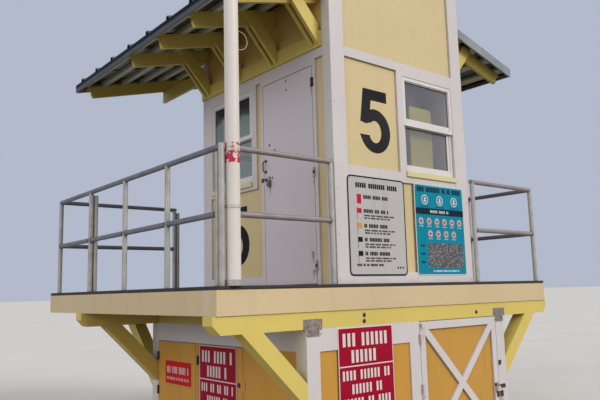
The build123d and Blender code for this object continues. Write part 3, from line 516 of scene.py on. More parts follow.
# A darker, bluer copy of the pipe for the side and sea rails and the weld rings: a painted shade.
shaded_side_pipe_metal = pipe_finish("weathered_side_pipe", paint(119, 121, 131), 0.5, 0.25)
strap_metal = pipe_finish("strap_metal", paint(178, 168, 160), 0.45, 0.25, (2.0, paint(204, 194, 182)))
screw_metal = pipe_finish("deck_screw_metal", paint(150, 142, 138), 0.45, 0.4)
coat(pipe_metal, "rail_posts")
coat(front_pipe_metal, "front_rails")
coat(shaded_side_pipe_metal, "side_rails", "sea_rails")
coat(strap_metal, "pole_fittings")
print("pipe:", pipe_metal.name, front_pipe_metal.name, shaded_side_pipe_metal.name)


# %% Zinc with its spangle
def zinc_finish(name):
    """Galvanised steel, its crystals each in their own grey, with brown stains."""
    look = Finish(name)
    spangle = look.add("TexVoronoi", inputs={"Vector": look.place, "Scale": 95.0}).outputs["Color"]
    grey = look.add("SeparateXYZ", inputs={0: spangle}).outputs[0]
    tone = look.mix(grey, paint(110, 98, 94), paint(166, 152, 146))
    stain = look.remap(look.cloud(26, detail=4.0), 0.5, 0.68)
    tone = look.mix(look.maths("MULTIPLY", stain, 0.6), tone, paint(104, 84, 68))
    look.relief(look.cloud(150), 0.0005, 0.5)
    return look.end(Base_Color=tone, Roughness=look.remap(grey, 0, 1, 0.4, 0.62), Metallic=0.35)


zinc = zinc_finish("galvanised_zinc")
coat(zinc, "post_plates")
print("zinc:", zinc.name)

# %% Rusty steel
HINGE_BLACK = paint(52, 48, 46)
BARE_HINGES = (-1.2, 3.3)


def rusty_finish(name, colour, share, bare=None):
    """Coated steel that has rusted over a share of its surface. bare is an X and a height: left of the one
    or above the other, the steel has lost its coat and is black."""
    look = Finish(name)
    if bare:
        spot = look.add("SeparateXYZ", inputs={0: look.place}).outputs
        bare_side = look.maths("LESS_THAN", spot[0], bare[0])
        bare_top = look.maths("GREATER_THAN", spot[2], bare[1])
        colour = look.mix(look.maths("MAXIMUM", bare_side, bare_top), colour, HINGE_BLACK)
    bloom = look.remap(look.cloud(48, detail=5.0), 0.68 - 0.3 * share, 0.8 - 0.3 * share)
    edge_rust = look.maths("MAXIMUM", bloom, look.maths("MULTIPLY", look.edges(0.002), 0.7))
    fine = look.remap(look.cloud(150, detail=3.0, shift=4.0), 0.35, 0.65)
    rust = look.mix(fine, paint(96, 52, 30), paint(140, 84, 48))
    look.relief(look.maths("MULTIPLY", edge_rust, look.cloud(260)), 0.0006)
    gloss = look.remap(edge_rust, 0, 1, 0.42, 0.85)
    return look.end(Base_Color=look.mix(edge_rust, colour, rust), Roughness=gloss, Metallic=0.2)


hinge_metal = rusty_finish("rusty_black_steel", HINGE_BLACK, 0.45)
painted_hinge = rusty_finish("white_painted_hinge", paint(190, 182, 180), 0.28, BARE_HINGES)
coat(hinge_metal, "side_door_far_hinges", "side_door_near_hinges", "hut_door_hinges")
coat(painted_hinge, "frame_hinges", "front_door_hinges")
print("hinges:", hinge_metal.name, painted_hinge.name)

# %% [markdown]
# ## Bare timber, roof sheet and glass
# Bare timber greys at the surface and stays brown in its grain. The grain runs along the board, so the cloud
# that draws it is stretched along one axis. The roof's sheet is coated blue grey outside and is painted
# darker underneath as painted shade, where a finish can tell the two faces apart by the way that they face.

# %% Bare timber
def timber_finish(name, light, dark, along, wear=0.4):
    """Unpainted timber, its grain drawn out along one axis (0, 1 or 2)."""
    look = Finish(name)
    stretch = [1.0, 1.0, 1.0]
    stretch[along] = 0.06
    grain = look.remap(look.cloud(46, tuple(stretch), 6.0), 0.32, 0.68)
    tone = look.mix(grain, dark, light)
    board = look.remap(look.cloud(2.2, detail=2.0, shift=6.0), 0.3, 0.7, 0.82, 1.12)
    tone = look.mix(1.0, tone, board, "MULTIPLY")
    # The corners darken by the occlusion mask: a painted shade.
    tone = look.mix(look.maths("MULTIPLY", look.corners(0.05), 0.5), tone, paint(46, 40, 36))
    tone = look.mix(look.maths("MULTIPLY", look.edges(0.004), wear), tone, paint(150, 138, 124))
    look.relief(grain, 0.0012, 0.8)
    return look.end(Base_Color=tone, Roughness=look.remap(grain, 0, 1, 0.85, 0.65))


joist_timber = timber_finish("weathered_joist_timber", paint(150, 128, 98), paint(96, 78, 58), 1)
ladder_timber = timber_finish("weathered_ladder_timber", paint(168, 150, 124), paint(112, 96, 78), 0)
coat(joist_timber, "deck_joists")
coat(ladder_timber, "ladder_stringers", "ladder_treads")
print("bare timber:", joist_timber.name, ladder_timber.name)


# %% Coated roof sheet and its edging
def roof_finish(name, colour, under):
    """Coated sheet, its underside painted in a darker colour as painted shade."""
    look = Finish(name)
    patches = look.remap(look.cloud(1.7, detail=5.0), 0.3, 0.7, 0.82, 1.16)
    tone = look.mix(1.0, colour, patches, "MULTIPLY")
    salt = look.remap(look.cloud(20, detail=5.0, shift=3.0), 0.55, 0.72)
    tone = look.mix(look.maths("MULTIPLY", salt, 0.3), tone, paint(146, 150, 152))
    tone = look.mix(look.maths("MULTIPLY", look.edges(0.004), 0.4), tone, paint(150, 152, 152))
    lean = look.add("SeparateXYZ", inputs={0: look.surface.outputs["True Normal"]}).outputs[2]
    # The underside takes the darker colour: a painted shade.
    tone = look.mix(look.remap(lean, -0.2, -0.6), tone, under)
    look.relief(look.cloud(60), 0.0006, 0.4)
    return look.end(Base_Color=tone, Roughness=look.remap(patches, 0.8, 1.2, 0.36, 0.55), Metallic=0.15)


EDGING_FOLD = 4.172


def edging_finish(name):
    """Edging: where it faces across X, at the eaves, dark as a painted shade and darker still above its
    fold; where it faces across Y, up the rakes, pale as a painted light.
    """
    look = Finish(name)
    height = look.add("SeparateXYZ", inputs={0: look.place}).outputs[2]
    face_x = look.add("SeparateXYZ", inputs={0: look.surface.outputs["True Normal"]}).outputs[0]
    sideways = look.maths("ABSOLUTE", face_x)
    above_fold = look.remap(height, EDGING_FOLD - 0.004, EDGING_FOLD)
    # At the eaves the edging is dark: a painted shade, darker still above the fold.
    eave_shade = look.mix(above_fold, paint(86, 90, 96), paint(18, 22, 26))
    # Up the rakes, where it faces across Y, it is pale: a painted light on the same metal.
    tone = look.mix(look.remap(sideways, 0.5, 0.8), paint(146, 153, 157), eave_shade)
    patches = look.remap(look.cloud(5, detail=5.0), 0.3, 0.7, 0.86, 1.12)
    tone = look.mix(1.0, tone, patches, "MULTIPLY")
    look.relief(look.cloud(60), 0.0006, 0.4)
    return look.end(Base_Color=tone, Roughness=0.6, Specular_IOR_Level=0.12)


# The second colour is the sheet's underside, a painted shade.
roof_metal = roof_finish("blue_grey_roof_sheet", paint(78, 90, 102), paint(40, 47, 47))
edging_metal = edging_finish("slate_roof_edging")
coat(roof_metal, "side_roof_left", "side_roof_right", "porch_roof_sheets", "hut_roof_sheets")
coat(edging_metal, "roof_edging")
print("roof:", roof_metal.name, edging_metal.name)

# %% [markdown]
# The panes are clear glass under a film of salt. Clear glass could be traced with its refraction, but a
# traced pane keeps the lamps out of the hut, so a pane here is a thin film of haze that light passes
# through, and the film's thickness is the pane's opacity.

# %% Window glass
DOOR_SIDE = -0.9
BESIDE_DOOR_FILM = 0.40
ROOF_SHADE = (3.50, 3.56)


def glass_finish(name):
    """A pane with a patchy film of salt. The door side's film is thicker, dark at its top under the roof."""
    look = Finish(name)
    look.relief(look.cloud(2.5), 0.002, 0.15)
    spot = look.add("SeparateXYZ", inputs={0: look.place}).outputs
    film = look.remap(look.cloud(5, (1, 1, 0.5), 5.0), 0.35, 0.7, 0.23, 0.35)
    tone = look.mix(look.cloud(3, detail=4.0, shift=4.0), paint(154, 154, 170), paint(182, 182, 190))
    beside_door = look.maths("LESS_THAN", spot[0], DOOR_SIDE)
    fraying = look.remap(look.cloud(4, (1, 1, 0.3), 2.0, 8.0), 0.3, 0.7, -0.05, 0.05)
    shade = look.remap(look.maths("ADD", spot[2], fraying), *ROOF_SHADE)
    shaded = look.mix(shade, paint(140, 154, 150), paint(60, 54, 56))
    tone = look.mix(beside_door, tone, shaded)
    film = look.maths("ADD", film, look.maths("MULTIPLY", beside_door, BESIDE_DOOR_FILM))
    return look.end(Base_Color=tone, Roughness=0.12, Alpha=film, IOR=1.48)


window_glass = glass_finish("salt_hazed_glass")
coat(window_glass, "window_glass")
print("finishes so far:", len(bpy.data.materials))

# %% [markdown]
# ## Making what repeats
# Hundreds of screws, nails and boards could be copied one by one in a loop, but each copy costs time and a
# change of size means making them all again. Geometry Nodes make them from one rule: a cloud of places goes
# in, a head is set on each, turned to face out of its board, and the copies are made real at the end. The
# modifier's inputs are its sizes. The result is turned into a plain mesh, which keeps no modifier.

# %% Helpers for node groups
def node_group(name, sockets):
    """A Geometry Nodes group with named inputs, each with its kind, and one geometry output."""
    group = bpy.data.node_groups.new(name, "GeometryNodeTree")
    group.interface.new_socket("Geometry", in_out="OUTPUT", socket_type="NodeSocketGeometry")
    for label, kind in sockets.items():
        group.interface.new_socket(label, in_out="INPUT", socket_type="NodeSocket" + kind)
    return group, group.nodes.new("NodeGroupInput").outputs, group.nodes.new("NodeGroupOutput").inputs[0]


def grow(group, kind, settings=None, inputs=None):
    """A node of a group with its settings, its sockets fed by name or number."""
    node = group.nodes.new(kind)
    for name, value in (settings or {}).items():
        setattr(node, name, value)
    for key, value in (inputs or {}).items():
        feed(group, node.inputs[key], value)
    return node


def inputs_of(group):
    """The names of a group's inputs, its sizes among them."""
    return [item.name for item in group.interface.items_tree if item.in_out == "INPUT"]


def real_mesh(name, group, start, values):
    """Runs a group on a start mesh with these values and hands back the plain mesh that it makes."""
    holder = bpy.data.objects.new(name + "_maker", start)
    bpy.context.scene.collection.objects.link(holder)
    modifier = holder.modifiers.new("maker", "NODES")
    modifier.node_group = group
    for item in group.interface.items_tree:
        if item.in_out == "INPUT" and item.name in values:
            modifier[item.identifier] = values[item.name]
    bpy.context.view_layer.update()
    made = holder.evaluated_get(bpy.context.evaluated_depsgraph_get())
    mesh = bpy.data.meshes.new_from_object(made)
    mesh.name = name
    bpy.data.objects.remove(holder)
    return mesh


def fit_piece(name, mesh, body, materials=()):
    """Puts a finished mesh in the scene under its own name and lets it ride on a body."""
    for material in materials:
        mesh.materials.append(material)
    piece = bpy.data.objects.new(name, mesh)
    bpy.context.scene.collection.objects.link(piece)
    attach(piece, body)
    return piece


# %% [markdown]
# The deck is laid in brown composite boards, with gaps that let the rain through. The construction has it
# as one slab. Grooves could be cut into that slab, but separate boards can each have a tone and rounded
# edges of their own, so a row of them takes the slab's place and keeps to its box.

# %% Deck boards, as a rule
BOARD_GAP = 0.005
BOARD_ROUND = 0.004
BOARD_COUNT = 25


def board_group():
    """Boards side by side along Y, each with rounded edges and its own tone, all of one length."""
    group, given, result = node_group("deck_board_rule", {
        "Count": "Int", "Pitch": "Float", "Width": "Float", "Thickness": "Float", "Length": "Float",
        "Start": "Vector", "Rounding": "Float", "Seed": "Int", "Finish": "Material"})
    step = grow(group, "ShaderNodeCombineXYZ", inputs={"Y": given["Pitch"]}).outputs[0]
    rows = grow(group, "GeometryNodeMeshLine", inputs={
        "Count": given["Count"], "Start Location": given["Start"], "Offset": step}).outputs[0]
    far_end = grow(group, "ShaderNodeCombineXYZ", inputs={"X": given["Length"]}).outputs[0]
    line = grow(group, "GeometryNodeCurvePrimitiveLine", inputs={"End": far_end}).outputs[0]
    section = grow(group, "GeometryNodeCurvePrimitiveQuadrilateral", inputs={
        "Width": given["Width"], "Height": given["Thickness"]}).outputs[0]
    rounded = grow(group, "GeometryNodeFilletCurve", {"mode": "POLY"}, {
        "Curve": section, "Radius": given["Rounding"], "Count": 2}).outputs[0]
    board = grow(group, "GeometryNodeCurveToMesh", inputs={
        "Curve": line, "Profile Curve": rounded, "Fill Caps": True}).outputs[0]
    placed = grow(group, "GeometryNodeInstanceOnPoints", inputs={"Points": rows, "Instance": board})
    tone = grow(group, "FunctionNodeRandomValue", {"data_type": "FLOAT"}, {"Seed": given["Seed"]})
    toned = grow(group, "GeometryNodeStoreNamedAttribute", {"data_type": "FLOAT", "domain": "INSTANCE"}, {
        "Geometry": placed.outputs[0], "Name": "board_tone", "Value": tone.outputs[1]}).outputs[0]
    real = grow(group, "GeometryNodeRealizeInstances", inputs={"Geometry": toned}).outputs[0]
    finished = grow(group, "GeometryNodeSetMaterial", inputs={"Geometry": real, "Material": given["Finish"]})
    feed(group, result, finished.outputs[0])
    return group


BOARD_RULE = board_group()
print("inputs of the board rule:", inputs_of(BOARD_RULE))


# %% Deck boards in place of the one slab
def board_finish(name):
    """Brown composite board: pressed grain, a tone for each board, dust in its pores, painted shade in its
    corners, and dark upright faces.
    """
    look = Finish(name)
    tone_of_board = look.add("Attribute", {"attribute_name": "board_tone"}).outputs["Fac"]
    grain = look.remap(look.cloud(60, (0.05, 1, 1), 5.0), 0.35, 0.65)
    brown = look.mix(tone_of_board, paint(78, 60, 56), paint(98, 80, 72))
    tone = look.mix(1.0, brown, look.remap(grain, 0, 1, 0.82, 1.1), "MULTIPLY")
    dust = look.remap(look.cloud(7, detail=6.0, shift=5.0), 0.5, 0.7)
    tone = look.mix(look.maths("MULTIPLY", dust, 0.3), tone, paint(176, 164, 146))
    # The corners darken by the occlusion mask: a painted shade.
    tone = look.mix(look.maths("MULTIPLY", look.corners(0.05), 0.7), tone, paint(44, 34, 32))
    # Every upright face is painted nearly black: painted shade in the gaps between boards, and the dark band
    # along the deck's edge.
    tone = look.mix(look.maths("MULTIPLY", look.upright(), 0.85), tone, paint(30, 24, 28))
    look.relief(grain, 0.0012, 0.7)
    return look.end(Base_Color=tone, Roughness=look.remap(grain, 0, 1, 0.8, 0.66))


def lay_deck():
    """The boards, set out over the slab's own box."""
    low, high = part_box("decking")
    pitch = (high.y - low.y + BOARD_GAP) / BOARD_COUNT
    values = {
        "Count": BOARD_COUNT, "Pitch": pitch, "Width": pitch - BOARD_GAP, "Thickness": high.z - low.z,
        "Length": high.x - low.x, "Start": (low.x, low.y + (pitch - BOARD_GAP) / 2, (low.z + high.z) / 2),
        "Rounding": BOARD_ROUND, "Seed": 5, "Finish": board_finish("brown_deck_board")}
    mesh = real_mesh("deck_boards", BOARD_RULE, bpy.data.meshes.new("deck_start"), values)
    piece = fit_piece("deck_boards", mesh, "tower")
    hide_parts("decking")
    return pitch, mesh


board_pitch, boards_mesh = lay_deck()
print("deck boards:", BOARD_COUNT, "each", round(board_pitch - BOARD_GAP, 4), "wide")
print("faces of the boards:", len(boards_mesh.polygons))

# %% [markdown]
# ## Nails, screws and bolts
# Every board on this tower is nailed, screwed or bolted, and the heads are what tells a viewer its size. One
# rule sets them all: a head is a low cone on a washer, and a place is a point with the direction that its
# board faces. A few bolts and door screws are listed, where they were seen. All the other places are worked
# out from each timber's own box, so they follow it if it moves.

# %% The head rule
CROWN_SHARE = 0.8


def cone(group, sides, top, bottom, height):
    """A low cone, cut off flat at its top."""
    return grow(group, "GeometryNodeMeshCone", inputs={
        "Vertices": sides, "Radius Top": top, "Radius Bottom": bottom, "Depth": height}).outputs[0]


def turned_to_face(group, seed):
    """A rotation for each point: along its own "facing", and spun about it by chance."""
    vector = {"data_type": "FLOAT_VECTOR"}
    facing = grow(group, "GeometryNodeInputNamedAttribute", vector, {"Name": "facing"})
    turned = grow(group, "FunctionNodeAlignRotationToVector", {"axis": "Z"}, {"Vector": facing.outputs[0]})
    spin = grow(group, "FunctionNodeRandomValue", {"data_type": "FLOAT"}, {"Max": math.tau, "Seed": seed})
    around = grow(group, "FunctionNodeAxisAngleToRotation", inputs={"Angle": spin.outputs[1]})
    spun = grow(group, "FunctionNodeRotateRotation", {"rotation_space": "LOCAL"}, {
        "Rotation": turned.outputs[0], "Rotate By": around.outputs[0]})
    return spun.outputs[0]


def head_group():
    """A washer and a low domed head on each point."""
    group, given, result = node_group("head_rule", {
        "Geometry": "Geometry", "Washer radius": "Float", "Washer height": "Float", "Washer sides": "Int",
        "Head radius": "Float", "Head height": "Float", "Head sides": "Int", "Seed": "Int",
        "Finish": "Material"})
    radius = given["Head radius"]
    washer = cone(group, given["Washer sides"], radius, given["Washer radius"], given["Washer height"])
    crown = grow(group, "ShaderNodeMath", {"operation": "MULTIPLY"}, {0: radius, 1: CROWN_SHARE}).outputs[0]
    head = cone(group, given["Head sides"], crown, radius, given["Head height"])
    both = grow(group, "GeometryNodeJoinGeometry")
    feed(group, both.inputs[0], washer)
    feed(group, both.inputs[0], head)
    placed = grow(group, "GeometryNodeInstanceOnPoints", inputs={
        "Points": given["Geometry"], "Instance": both.outputs[0],
        "Rotation": turned_to_face(group, given["Seed"])}).outputs[0]
    real = grow(group, "GeometryNodeRealizeInstances", inputs={"Geometry": placed}).outputs[0]
    finished = grow(group, "GeometryNodeSetMaterial", inputs={"Geometry": real, "Material": given["Finish"]})
    feed(group, result, finished.outputs[0])
    return group


HEAD_RULE = head_group()
print("inputs of the head rule:", inputs_of(HEAD_RULE))


# %% Heads set at places
def set_heads(name, places, body, finish, washer=(0.008, 0.0008), head=(0.0045, 0.0012), sides=8, slot=None):
    """One mesh of heads at places, each a point and the way that it faces. Sizes are radius and height."""
    start = bpy.data.meshes.new(name + "_places")
    start.from_pydata([tuple(point) for point, facing in places], [], [])
    facings = start.attributes.new("facing", "FLOAT_VECTOR", "POINT")
    facings.data.foreach_set("vector", [value for point, facing in places for value in facing])
    values = {
        "Washer radius": washer[0], "Washer height": washer[1], "Washer sides": max(10, sides),
        "Head radius": head[0], "Head height": washer[1] + head[1], "Head sides": sides,
        "Seed": len(places), "Finish": finish}
    mesh = real_mesh(name, HEAD_RULE, start, values)
    return fit_piece(name, mesh, body)


def spread(first, last, spacing):
    """Even stops from first to last, no further apart than spacing."""
    steps = max(1, math.ceil(abs(last - first) / spacing - 1e-6))
    return [first + (last - first) * step / steps for step in range(steps + 1)]


print("stops over 1 m, at most 0.42 apart:", [round(stop, 3) for stop in spread(0, 1, 0.42)])

# %% Which way a board faces
FRONT = Vector((0, -1, 0))
BACK = Vector((0, 1, 0))
LEFT = Vector((-1, 0, 0))
RIGHT = Vector((1, 0, 0))
# The hut's front boards start before its middle, back ones end past its back and side ones past its side.
HUT_MIDDLE = -1.0
HUT_BACK = 0.13
HUT_SIDE = 0.96


def side_of(low, high, middle=HUT_MIDDLE):
    """The way that a thin board faces: out of the front or the back, or out of the left or the right."""
    if high.x - low.x > high.y - low.y:
        return FRONT if low.y < middle else BACK
    return LEFT if low.x < 0 else RIGHT


print("the door casing faces", [tuple(side_of(*box)) for box in solid_boxes("door_casing")])

# %% Nails along the trim boards
NAIL_INSET = 0.03
NAIL_SPACING = 0.42
painted_nail = weathered("painted_nail", paint(196, 186, 180), paint(120, 84, 60), 0.5, 0.9, 0.0, 0.6)
fascia_nail = weathered("painted_fascia_nail", paint(198, 176, 140), paint(120, 92, 66), 0.3, 0.4, 0.0, 0.6)


def wall_nails(low, high, facing, spacing=NAIL_SPACING, inset=NAIL_INSET):
    """Nails in pairs along the longer side of a board whose face looks along facing."""
    across = 0 if abs(facing.y) else 1
    depth = 1 - across
    level = high[depth] if facing[depth] > 0 else low[depth]
    long_axis, short_axis = (2, across) if high.z - low.z > high[across] - low[across] else (across, 2)
    short = (low[short_axis] + inset, high[short_axis] - inset)
    if short[1] - short[0] < inset:
        short = ((low[short_axis] + high[short_axis]) / 2,)
    places = []
    for along in spread(low[long_axis] + inset, high[long_axis] - inset, spacing):
        for side in short:
            point = Vector((0, 0, 0))
            point[depth], point[long_axis], point[short_axis] = level, along, side
            places.append((point, facing))
    return places


def trim_places():
    """Nails through the white boards of the hut, on every face that shows."""
    places = []
    for low, high in solid_boxes("hut_corner_boards"):
        if low.y < HUT_MIDDLE:
            places += wall_nails(low, high, FRONT)
        if high.y > HUT_BACK:
            places += wall_nails(low, high, BACK)
        if low.x < -HUT_SIDE:
            places += wall_nails(low, high, LEFT)
        if high.x > HUT_SIDE:
            places += wall_nails(low, high, RIGHT)
    for name in ("hut_bands", "door_casing"):
        for low, high in solid_boxes(name):
            places += wall_nails(low, high, side_of(low, high))
    return places


trim_nails = trim_places()
set_heads("trim_nails", trim_nails, "tower", painted_nail, washer=(0.006, 0.0005), head=(0.0035, 0.0008))
print("trim nails:", len(trim_nails))


# %% Nails of the fascia, the headers and the store's boards
def base_places():
    """Nails through the boards round the deck's edge and over the store's walls."""
    places = []
    for name in ("deck_fascia", "base_headers"):
        for low, high in solid_boxes(name):
            places += wall_nails(low, high, side_of(low, high, 0.0))
    return places


base_nails = base_places()
set_heads("base_nails", base_nails, "tower", fascia_nail, washer=(0.005, 0.0003), head=(0.003, 0.0006))
print("fascia and header nails:", len(base_nails))

# %% Bolts of the girders and the plates
GIRDER_BOLTS = ((-0.711, 1.398), (-0.714, 1.346), (0.909, 1.360))
PLATE_NAIL_GRID = (0.05, 0.045)
PLATE_NAIL_INSET = 0.018


def bolt_places():
    """Bolts through the front girder, where they are seen."""
    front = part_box("girders")[0].y
    return [(Vector((x, front, z)), FRONT) for x, z in GIRDER_BOLTS]


def plate_places():
    """Nails in rows over each galvanised plate."""
    places = []
    for low, high in solid_boxes("post_plates"):
        for x in spread(low.x + PLATE_NAIL_INSET, high.x - PLATE_NAIL_INSET, PLATE_NAIL_GRID[0]):
            for z in spread(low.z + PLATE_NAIL_INSET, high.z - PLATE_NAIL_INSET, PLATE_NAIL_GRID[1]):
                places.append((Vector((x, low.y, z)), FRONT))
    return places


girder_bolts = bolt_places()
plate_nails = plate_places()
set_heads("girder_bolts", girder_bolts, "tower", hinge_metal, (0.021, 0.003), (0.012, 0.009), 6)
set_heads("plate_nails", plate_nails, "tower", zinc, (0.006, 0.0006), (0.0042, 0.0016), 8)
print("bolts:", len(girder_bolts), "plate nails:", len(plate_nails))

# %% Screws of the deck
DECK_SCREW_INSET = 0.025
HUT_MARGIN = 0.04


def deck_places():
    """Two screws where each deck board crosses each joist, and none under the hut."""
    low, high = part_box("decking")
    hut_low, front_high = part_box("hut_wall_front")
    hut_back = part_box("hut_wall_sea")[1].y + HUT_MARGIN
    joists = [(first.x + last.x) / 2 for first, last in solid_boxes("deck_joists")]
    places = []
    for row in range(BOARD_COUNT):
        start = low.y + row * board_pitch
        for y in (start + DECK_SCREW_INSET, start + board_pitch - BOARD_GAP - DECK_SCREW_INSET):
            for x in joists:
                under_x = hut_low.x - HUT_MARGIN < x < front_high.x + HUT_MARGIN
                under_y = hut_low.y - HUT_MARGIN < y < hut_back
                if not (under_x and under_y):
                    places.append((Vector((x, y, high.z)), UP))
    return places


deck_screws = deck_places()
set_heads("deck_screws", deck_screws, "tower", screw_metal, (0.0052, 0.0003), (0.004, 0.0006), 6)
print("deck screws:", len(deck_screws))

# %% [markdown]
# ## The roof sheets' screws
# Ribbed sheet is screwed down through its ribs into the purlins, with a broad washer that keeps the rain
# out. The screws stand on the sheet's slope, so each one is dropped on to the sheet with a ray from above,
# and takes the slope of the face that it lands on. That is surer than working the slope out again here.

# %% Roof screws, dropped on to the sheets
SCREW_PITCH = 0.30
ROW_PITCH = 0.4
PURLIN_END = 0.06
SHEET_EDGE = 0.1


def dropped(name, x, y, height=8.0):
    """The point and the slope where a plumb line at x, y lands on a construction node."""
    hit, spot, normal, index = cad_nodes[name].ray_cast(Vector((x, y, height)), -UP)
    return (spot, normal if normal.z > 0 else -normal) if hit else None


def roof_places():
    """Screws over each purlin of the side roofs, and in rows over the hut's own roof."""
    places = []
    for low, high in solid_boxes("purlins"):
        side_sheet = "side_roof_left" if high.x < 0 else "side_roof_right"
        sheet = side_sheet if low.y < HUT_MIDDLE else "porch_roof_sheets"
        for y in spread(low.y + PURLIN_END, high.y - PURLIN_END, SCREW_PITCH):
            places.append(dropped(sheet, (low.x + high.x) / 2, y))
    low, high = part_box("hut_roof_sheets")
    for x in spread(low.x + SHEET_EDGE, high.x - SHEET_EDGE, ROW_PITCH):
        for y in spread(low.y + SHEET_EDGE, high.y - SHEET_EDGE, SCREW_PITCH):
            places.append(dropped("hut_roof_sheets", x, y))
    return [place for place in places if place]


roof_screws = roof_places()
set_heads("roof_screws", roof_screws, "tower", zinc, (0.011, 0.002), (0.0065, 0.005), 6, "galvanised")
print("roof screws:", len(roof_screws))

# %% [markdown]
# ## Signs and numerals
# A real sign is a thin sheet with rounded corners, screwed to the boards, with vinyl stuck on it in layers.
# A drawn texture would be flat and would go soft close up, so each colour here is a real layer a fraction
# of a millimetre thick, cut from an outline. The plates carry plain blocks, flags and dots, and the only
# characters are a plain station numeral.

# %% A wall's own sheet to draw on
def wall_at(origin, rightwards, outwards):
    """A flat wall to draw on: turns u along it, v up it and w out of it into a point of the tower."""
    start, along, out = Vector(origin), Vector(rightwards), Vector(outwards)

    def point(u, v, w=0.0):
        return start + along * u + UP * v + out * w
    return point


def cut_shapes(name, shapes, point):
    """One mesh of flat shapes: each an outline, the height of its back, its thickness and its material."""
    build = bmesh.new()
    for outline, back, thickness, number in shapes:
        behind = [build.verts.new(point(u, v, back)) for u, v in outline]
        front = [build.verts.new(point(u, v, back + thickness)) for u, v in outline]
        faces = [build.faces.new(front), build.faces.new(behind[::-1])]
        for index in range(len(outline)):
            after = (index + 1) % len(outline)
            faces.append(build.faces.new((behind[index], behind[after], front[after], front[index])))
        for face in faces:
            face.material_index = number
    bmesh.ops.recalc_face_normals(build, faces=build.faces)
    mesh = bpy.data.meshes.new(name)
    build.to_mesh(mesh)
    build.free()
    return mesh


print("1 m along a front wall and 2 m up it:", tuple(wall_at((0, 0, 0), (1, 0, 0), FRONT)(1, 2)))


# %% Arcs, rounded plates and discs
def arc(centre, radius, start, end, steps, tall=1.0):
    """Points along an arc, its angles in degrees. tall stretches it upwards into part of an ellipse."""
    u, v = centre
    angles = [math.radians(start + (end - start) * step / steps) for step in range(steps + 1)]
    return [(u + radius * math.cos(angle), v + radius * tall * math.sin(angle)) for angle in angles]


def rounded_plate(left, bottom, width, height, corner):
    """The outline of a plate with rounded corners."""
    right_side, top = left + width - corner, bottom + height - corner
    left_side, foot = left + corner, bottom + corner
    centres = ((right_side, foot), (right_side, top), (left_side, top), (left_side, foot))
    outline = []
    for centre, start in zip(centres, (-90, 0, 90, 180)):
        outline += arc(centre, corner, start, start + 90, 5)
    return outline


def disc(centre, radius, sides=20):
    """The outline of a round spot."""
    return arc(centre, radius, 0, 360 - 360 / sides, sides - 1)


print("corners of a rounded plate:", len(rounded_plate(0, 0, 1, 1, 0.1)))

# %% [markdown]
# The numeral is a heavy plain five: a flat bar, a leaning upright and a round bowl, thickest at its right
# and open at the left. Its outline runs round the bowl's inner edge one way and back along the outer edge,
# so two arcs and eight corners give the whole of it.

# %% A plain five
NUMERAL_SIZE = (0.411, 0.62)
BAR = (0.058, 0.376, 0.108)
UPRIGHT = ((0.010, 0.290), (0.083, 0.276))
BOWL_INSIDE = ((0.203, 0.2065), 0.083, 1.30)
BOWL_OUTSIDE = ((0.2055, 0.215), 0.2055, 1.046)
MOUTH = (0.130, 0.167)
PAINT_THICKNESS = 0.0008


def plain_five(left, bottom):
    """The outline of the numeral, its lower left corner at left, bottom."""
    top = NUMERAL_SIZE[1]
    bar_left, bar_right, bar_height = BAR
    outline = [(bar_right, top), (bar_left, top), *UPRIGHT]
    outline += arc(BOWL_INSIDE[0], BOWL_INSIDE[1], 125, -150, 24, BOWL_INSIDE[2])
    outline += [MOUTH, (0.0, MOUTH[1])]
    outline += arc(BOWL_OUTSIDE[0], BOWL_OUTSIDE[1], -155, 107, 28, BOWL_OUTSIDE[2])
    outline += [(bar_left + 0.101, top - bar_height), (bar_right, top - bar_height)]
    return [(left + u, bottom + v) for u, v in outline]


numeral_paint = weathered("worn_black_paint", paint(14, 12, 14), paint(150, 134, 108), 0.1, 0.4, 0.0, 0.75)
front_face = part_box("hut_wall_front")[0].y
door_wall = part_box("hut_wall_door_far")[0].x
on_front = wall_at((0, front_face, 0), (1, 0, 0), FRONT)
on_door_side = wall_at((door_wall, 0, 0), (0, -1, 0), LEFT)
NUMERALS = {
    "front_numeral": (on_front, (-0.604, 2.891)),
    "door_side_numeral": (on_door_side, (0.335, 1.90))}
for name, (wall, corner) in NUMERALS.items():
    five = plain_five(*corner)
    mesh = cut_shapes(name, [(five, 0.0, PAINT_THICKNESS, 0)], wall)
    fit_piece(name, mesh, "tower", materials=[numeral_paint])
print("numerals of", len(five), "corners")


# %% Sign finishes
def vinyl(name, colour, rough=0.5, fade=0.25):
    """Printed sheet that the sun has faded in patches, with fine scratches."""
    look = Finish(name)
    pale = tuple(channel + (0.5 - channel) * 0.12 for channel in colour[:3]) + (1.0,)
    bleached = look.remap(look.cloud(2.4, detail=4.0), 0.4, 0.75)
    tone = look.mix(look.maths("MULTIPLY", bleached, fade), colour, pale)
    scratch = look.remap(look.cloud(70, (1, 1, 0.15), 3.0, 2.0), 0.62, 0.7)
    tone = look.mix(look.maths("MULTIPLY", scratch, 0.10), tone, paint(150, 146, 142))
    streak = look.remap(look.cloud(12, (1, 1, 0.05), 3.0, 6.0), 0.55, 0.75)
    tone = look.mix(look.maths("MULTIPLY", streak, 0.25), tone, darker(colour, 0.5))
    tone = look.mix(look.maths("MULTIPLY", look.edges(0.003), 0.4), tone, paint(120, 114, 108))
    look.relief(look.cloud(8), 0.002, 0.12)
    gloss = look.remap(scratch, 0, 1, rough, 0.7)
    return look.end(Base_Color=tone, Roughness=gloss, Specular_IOR_Level=0.08)


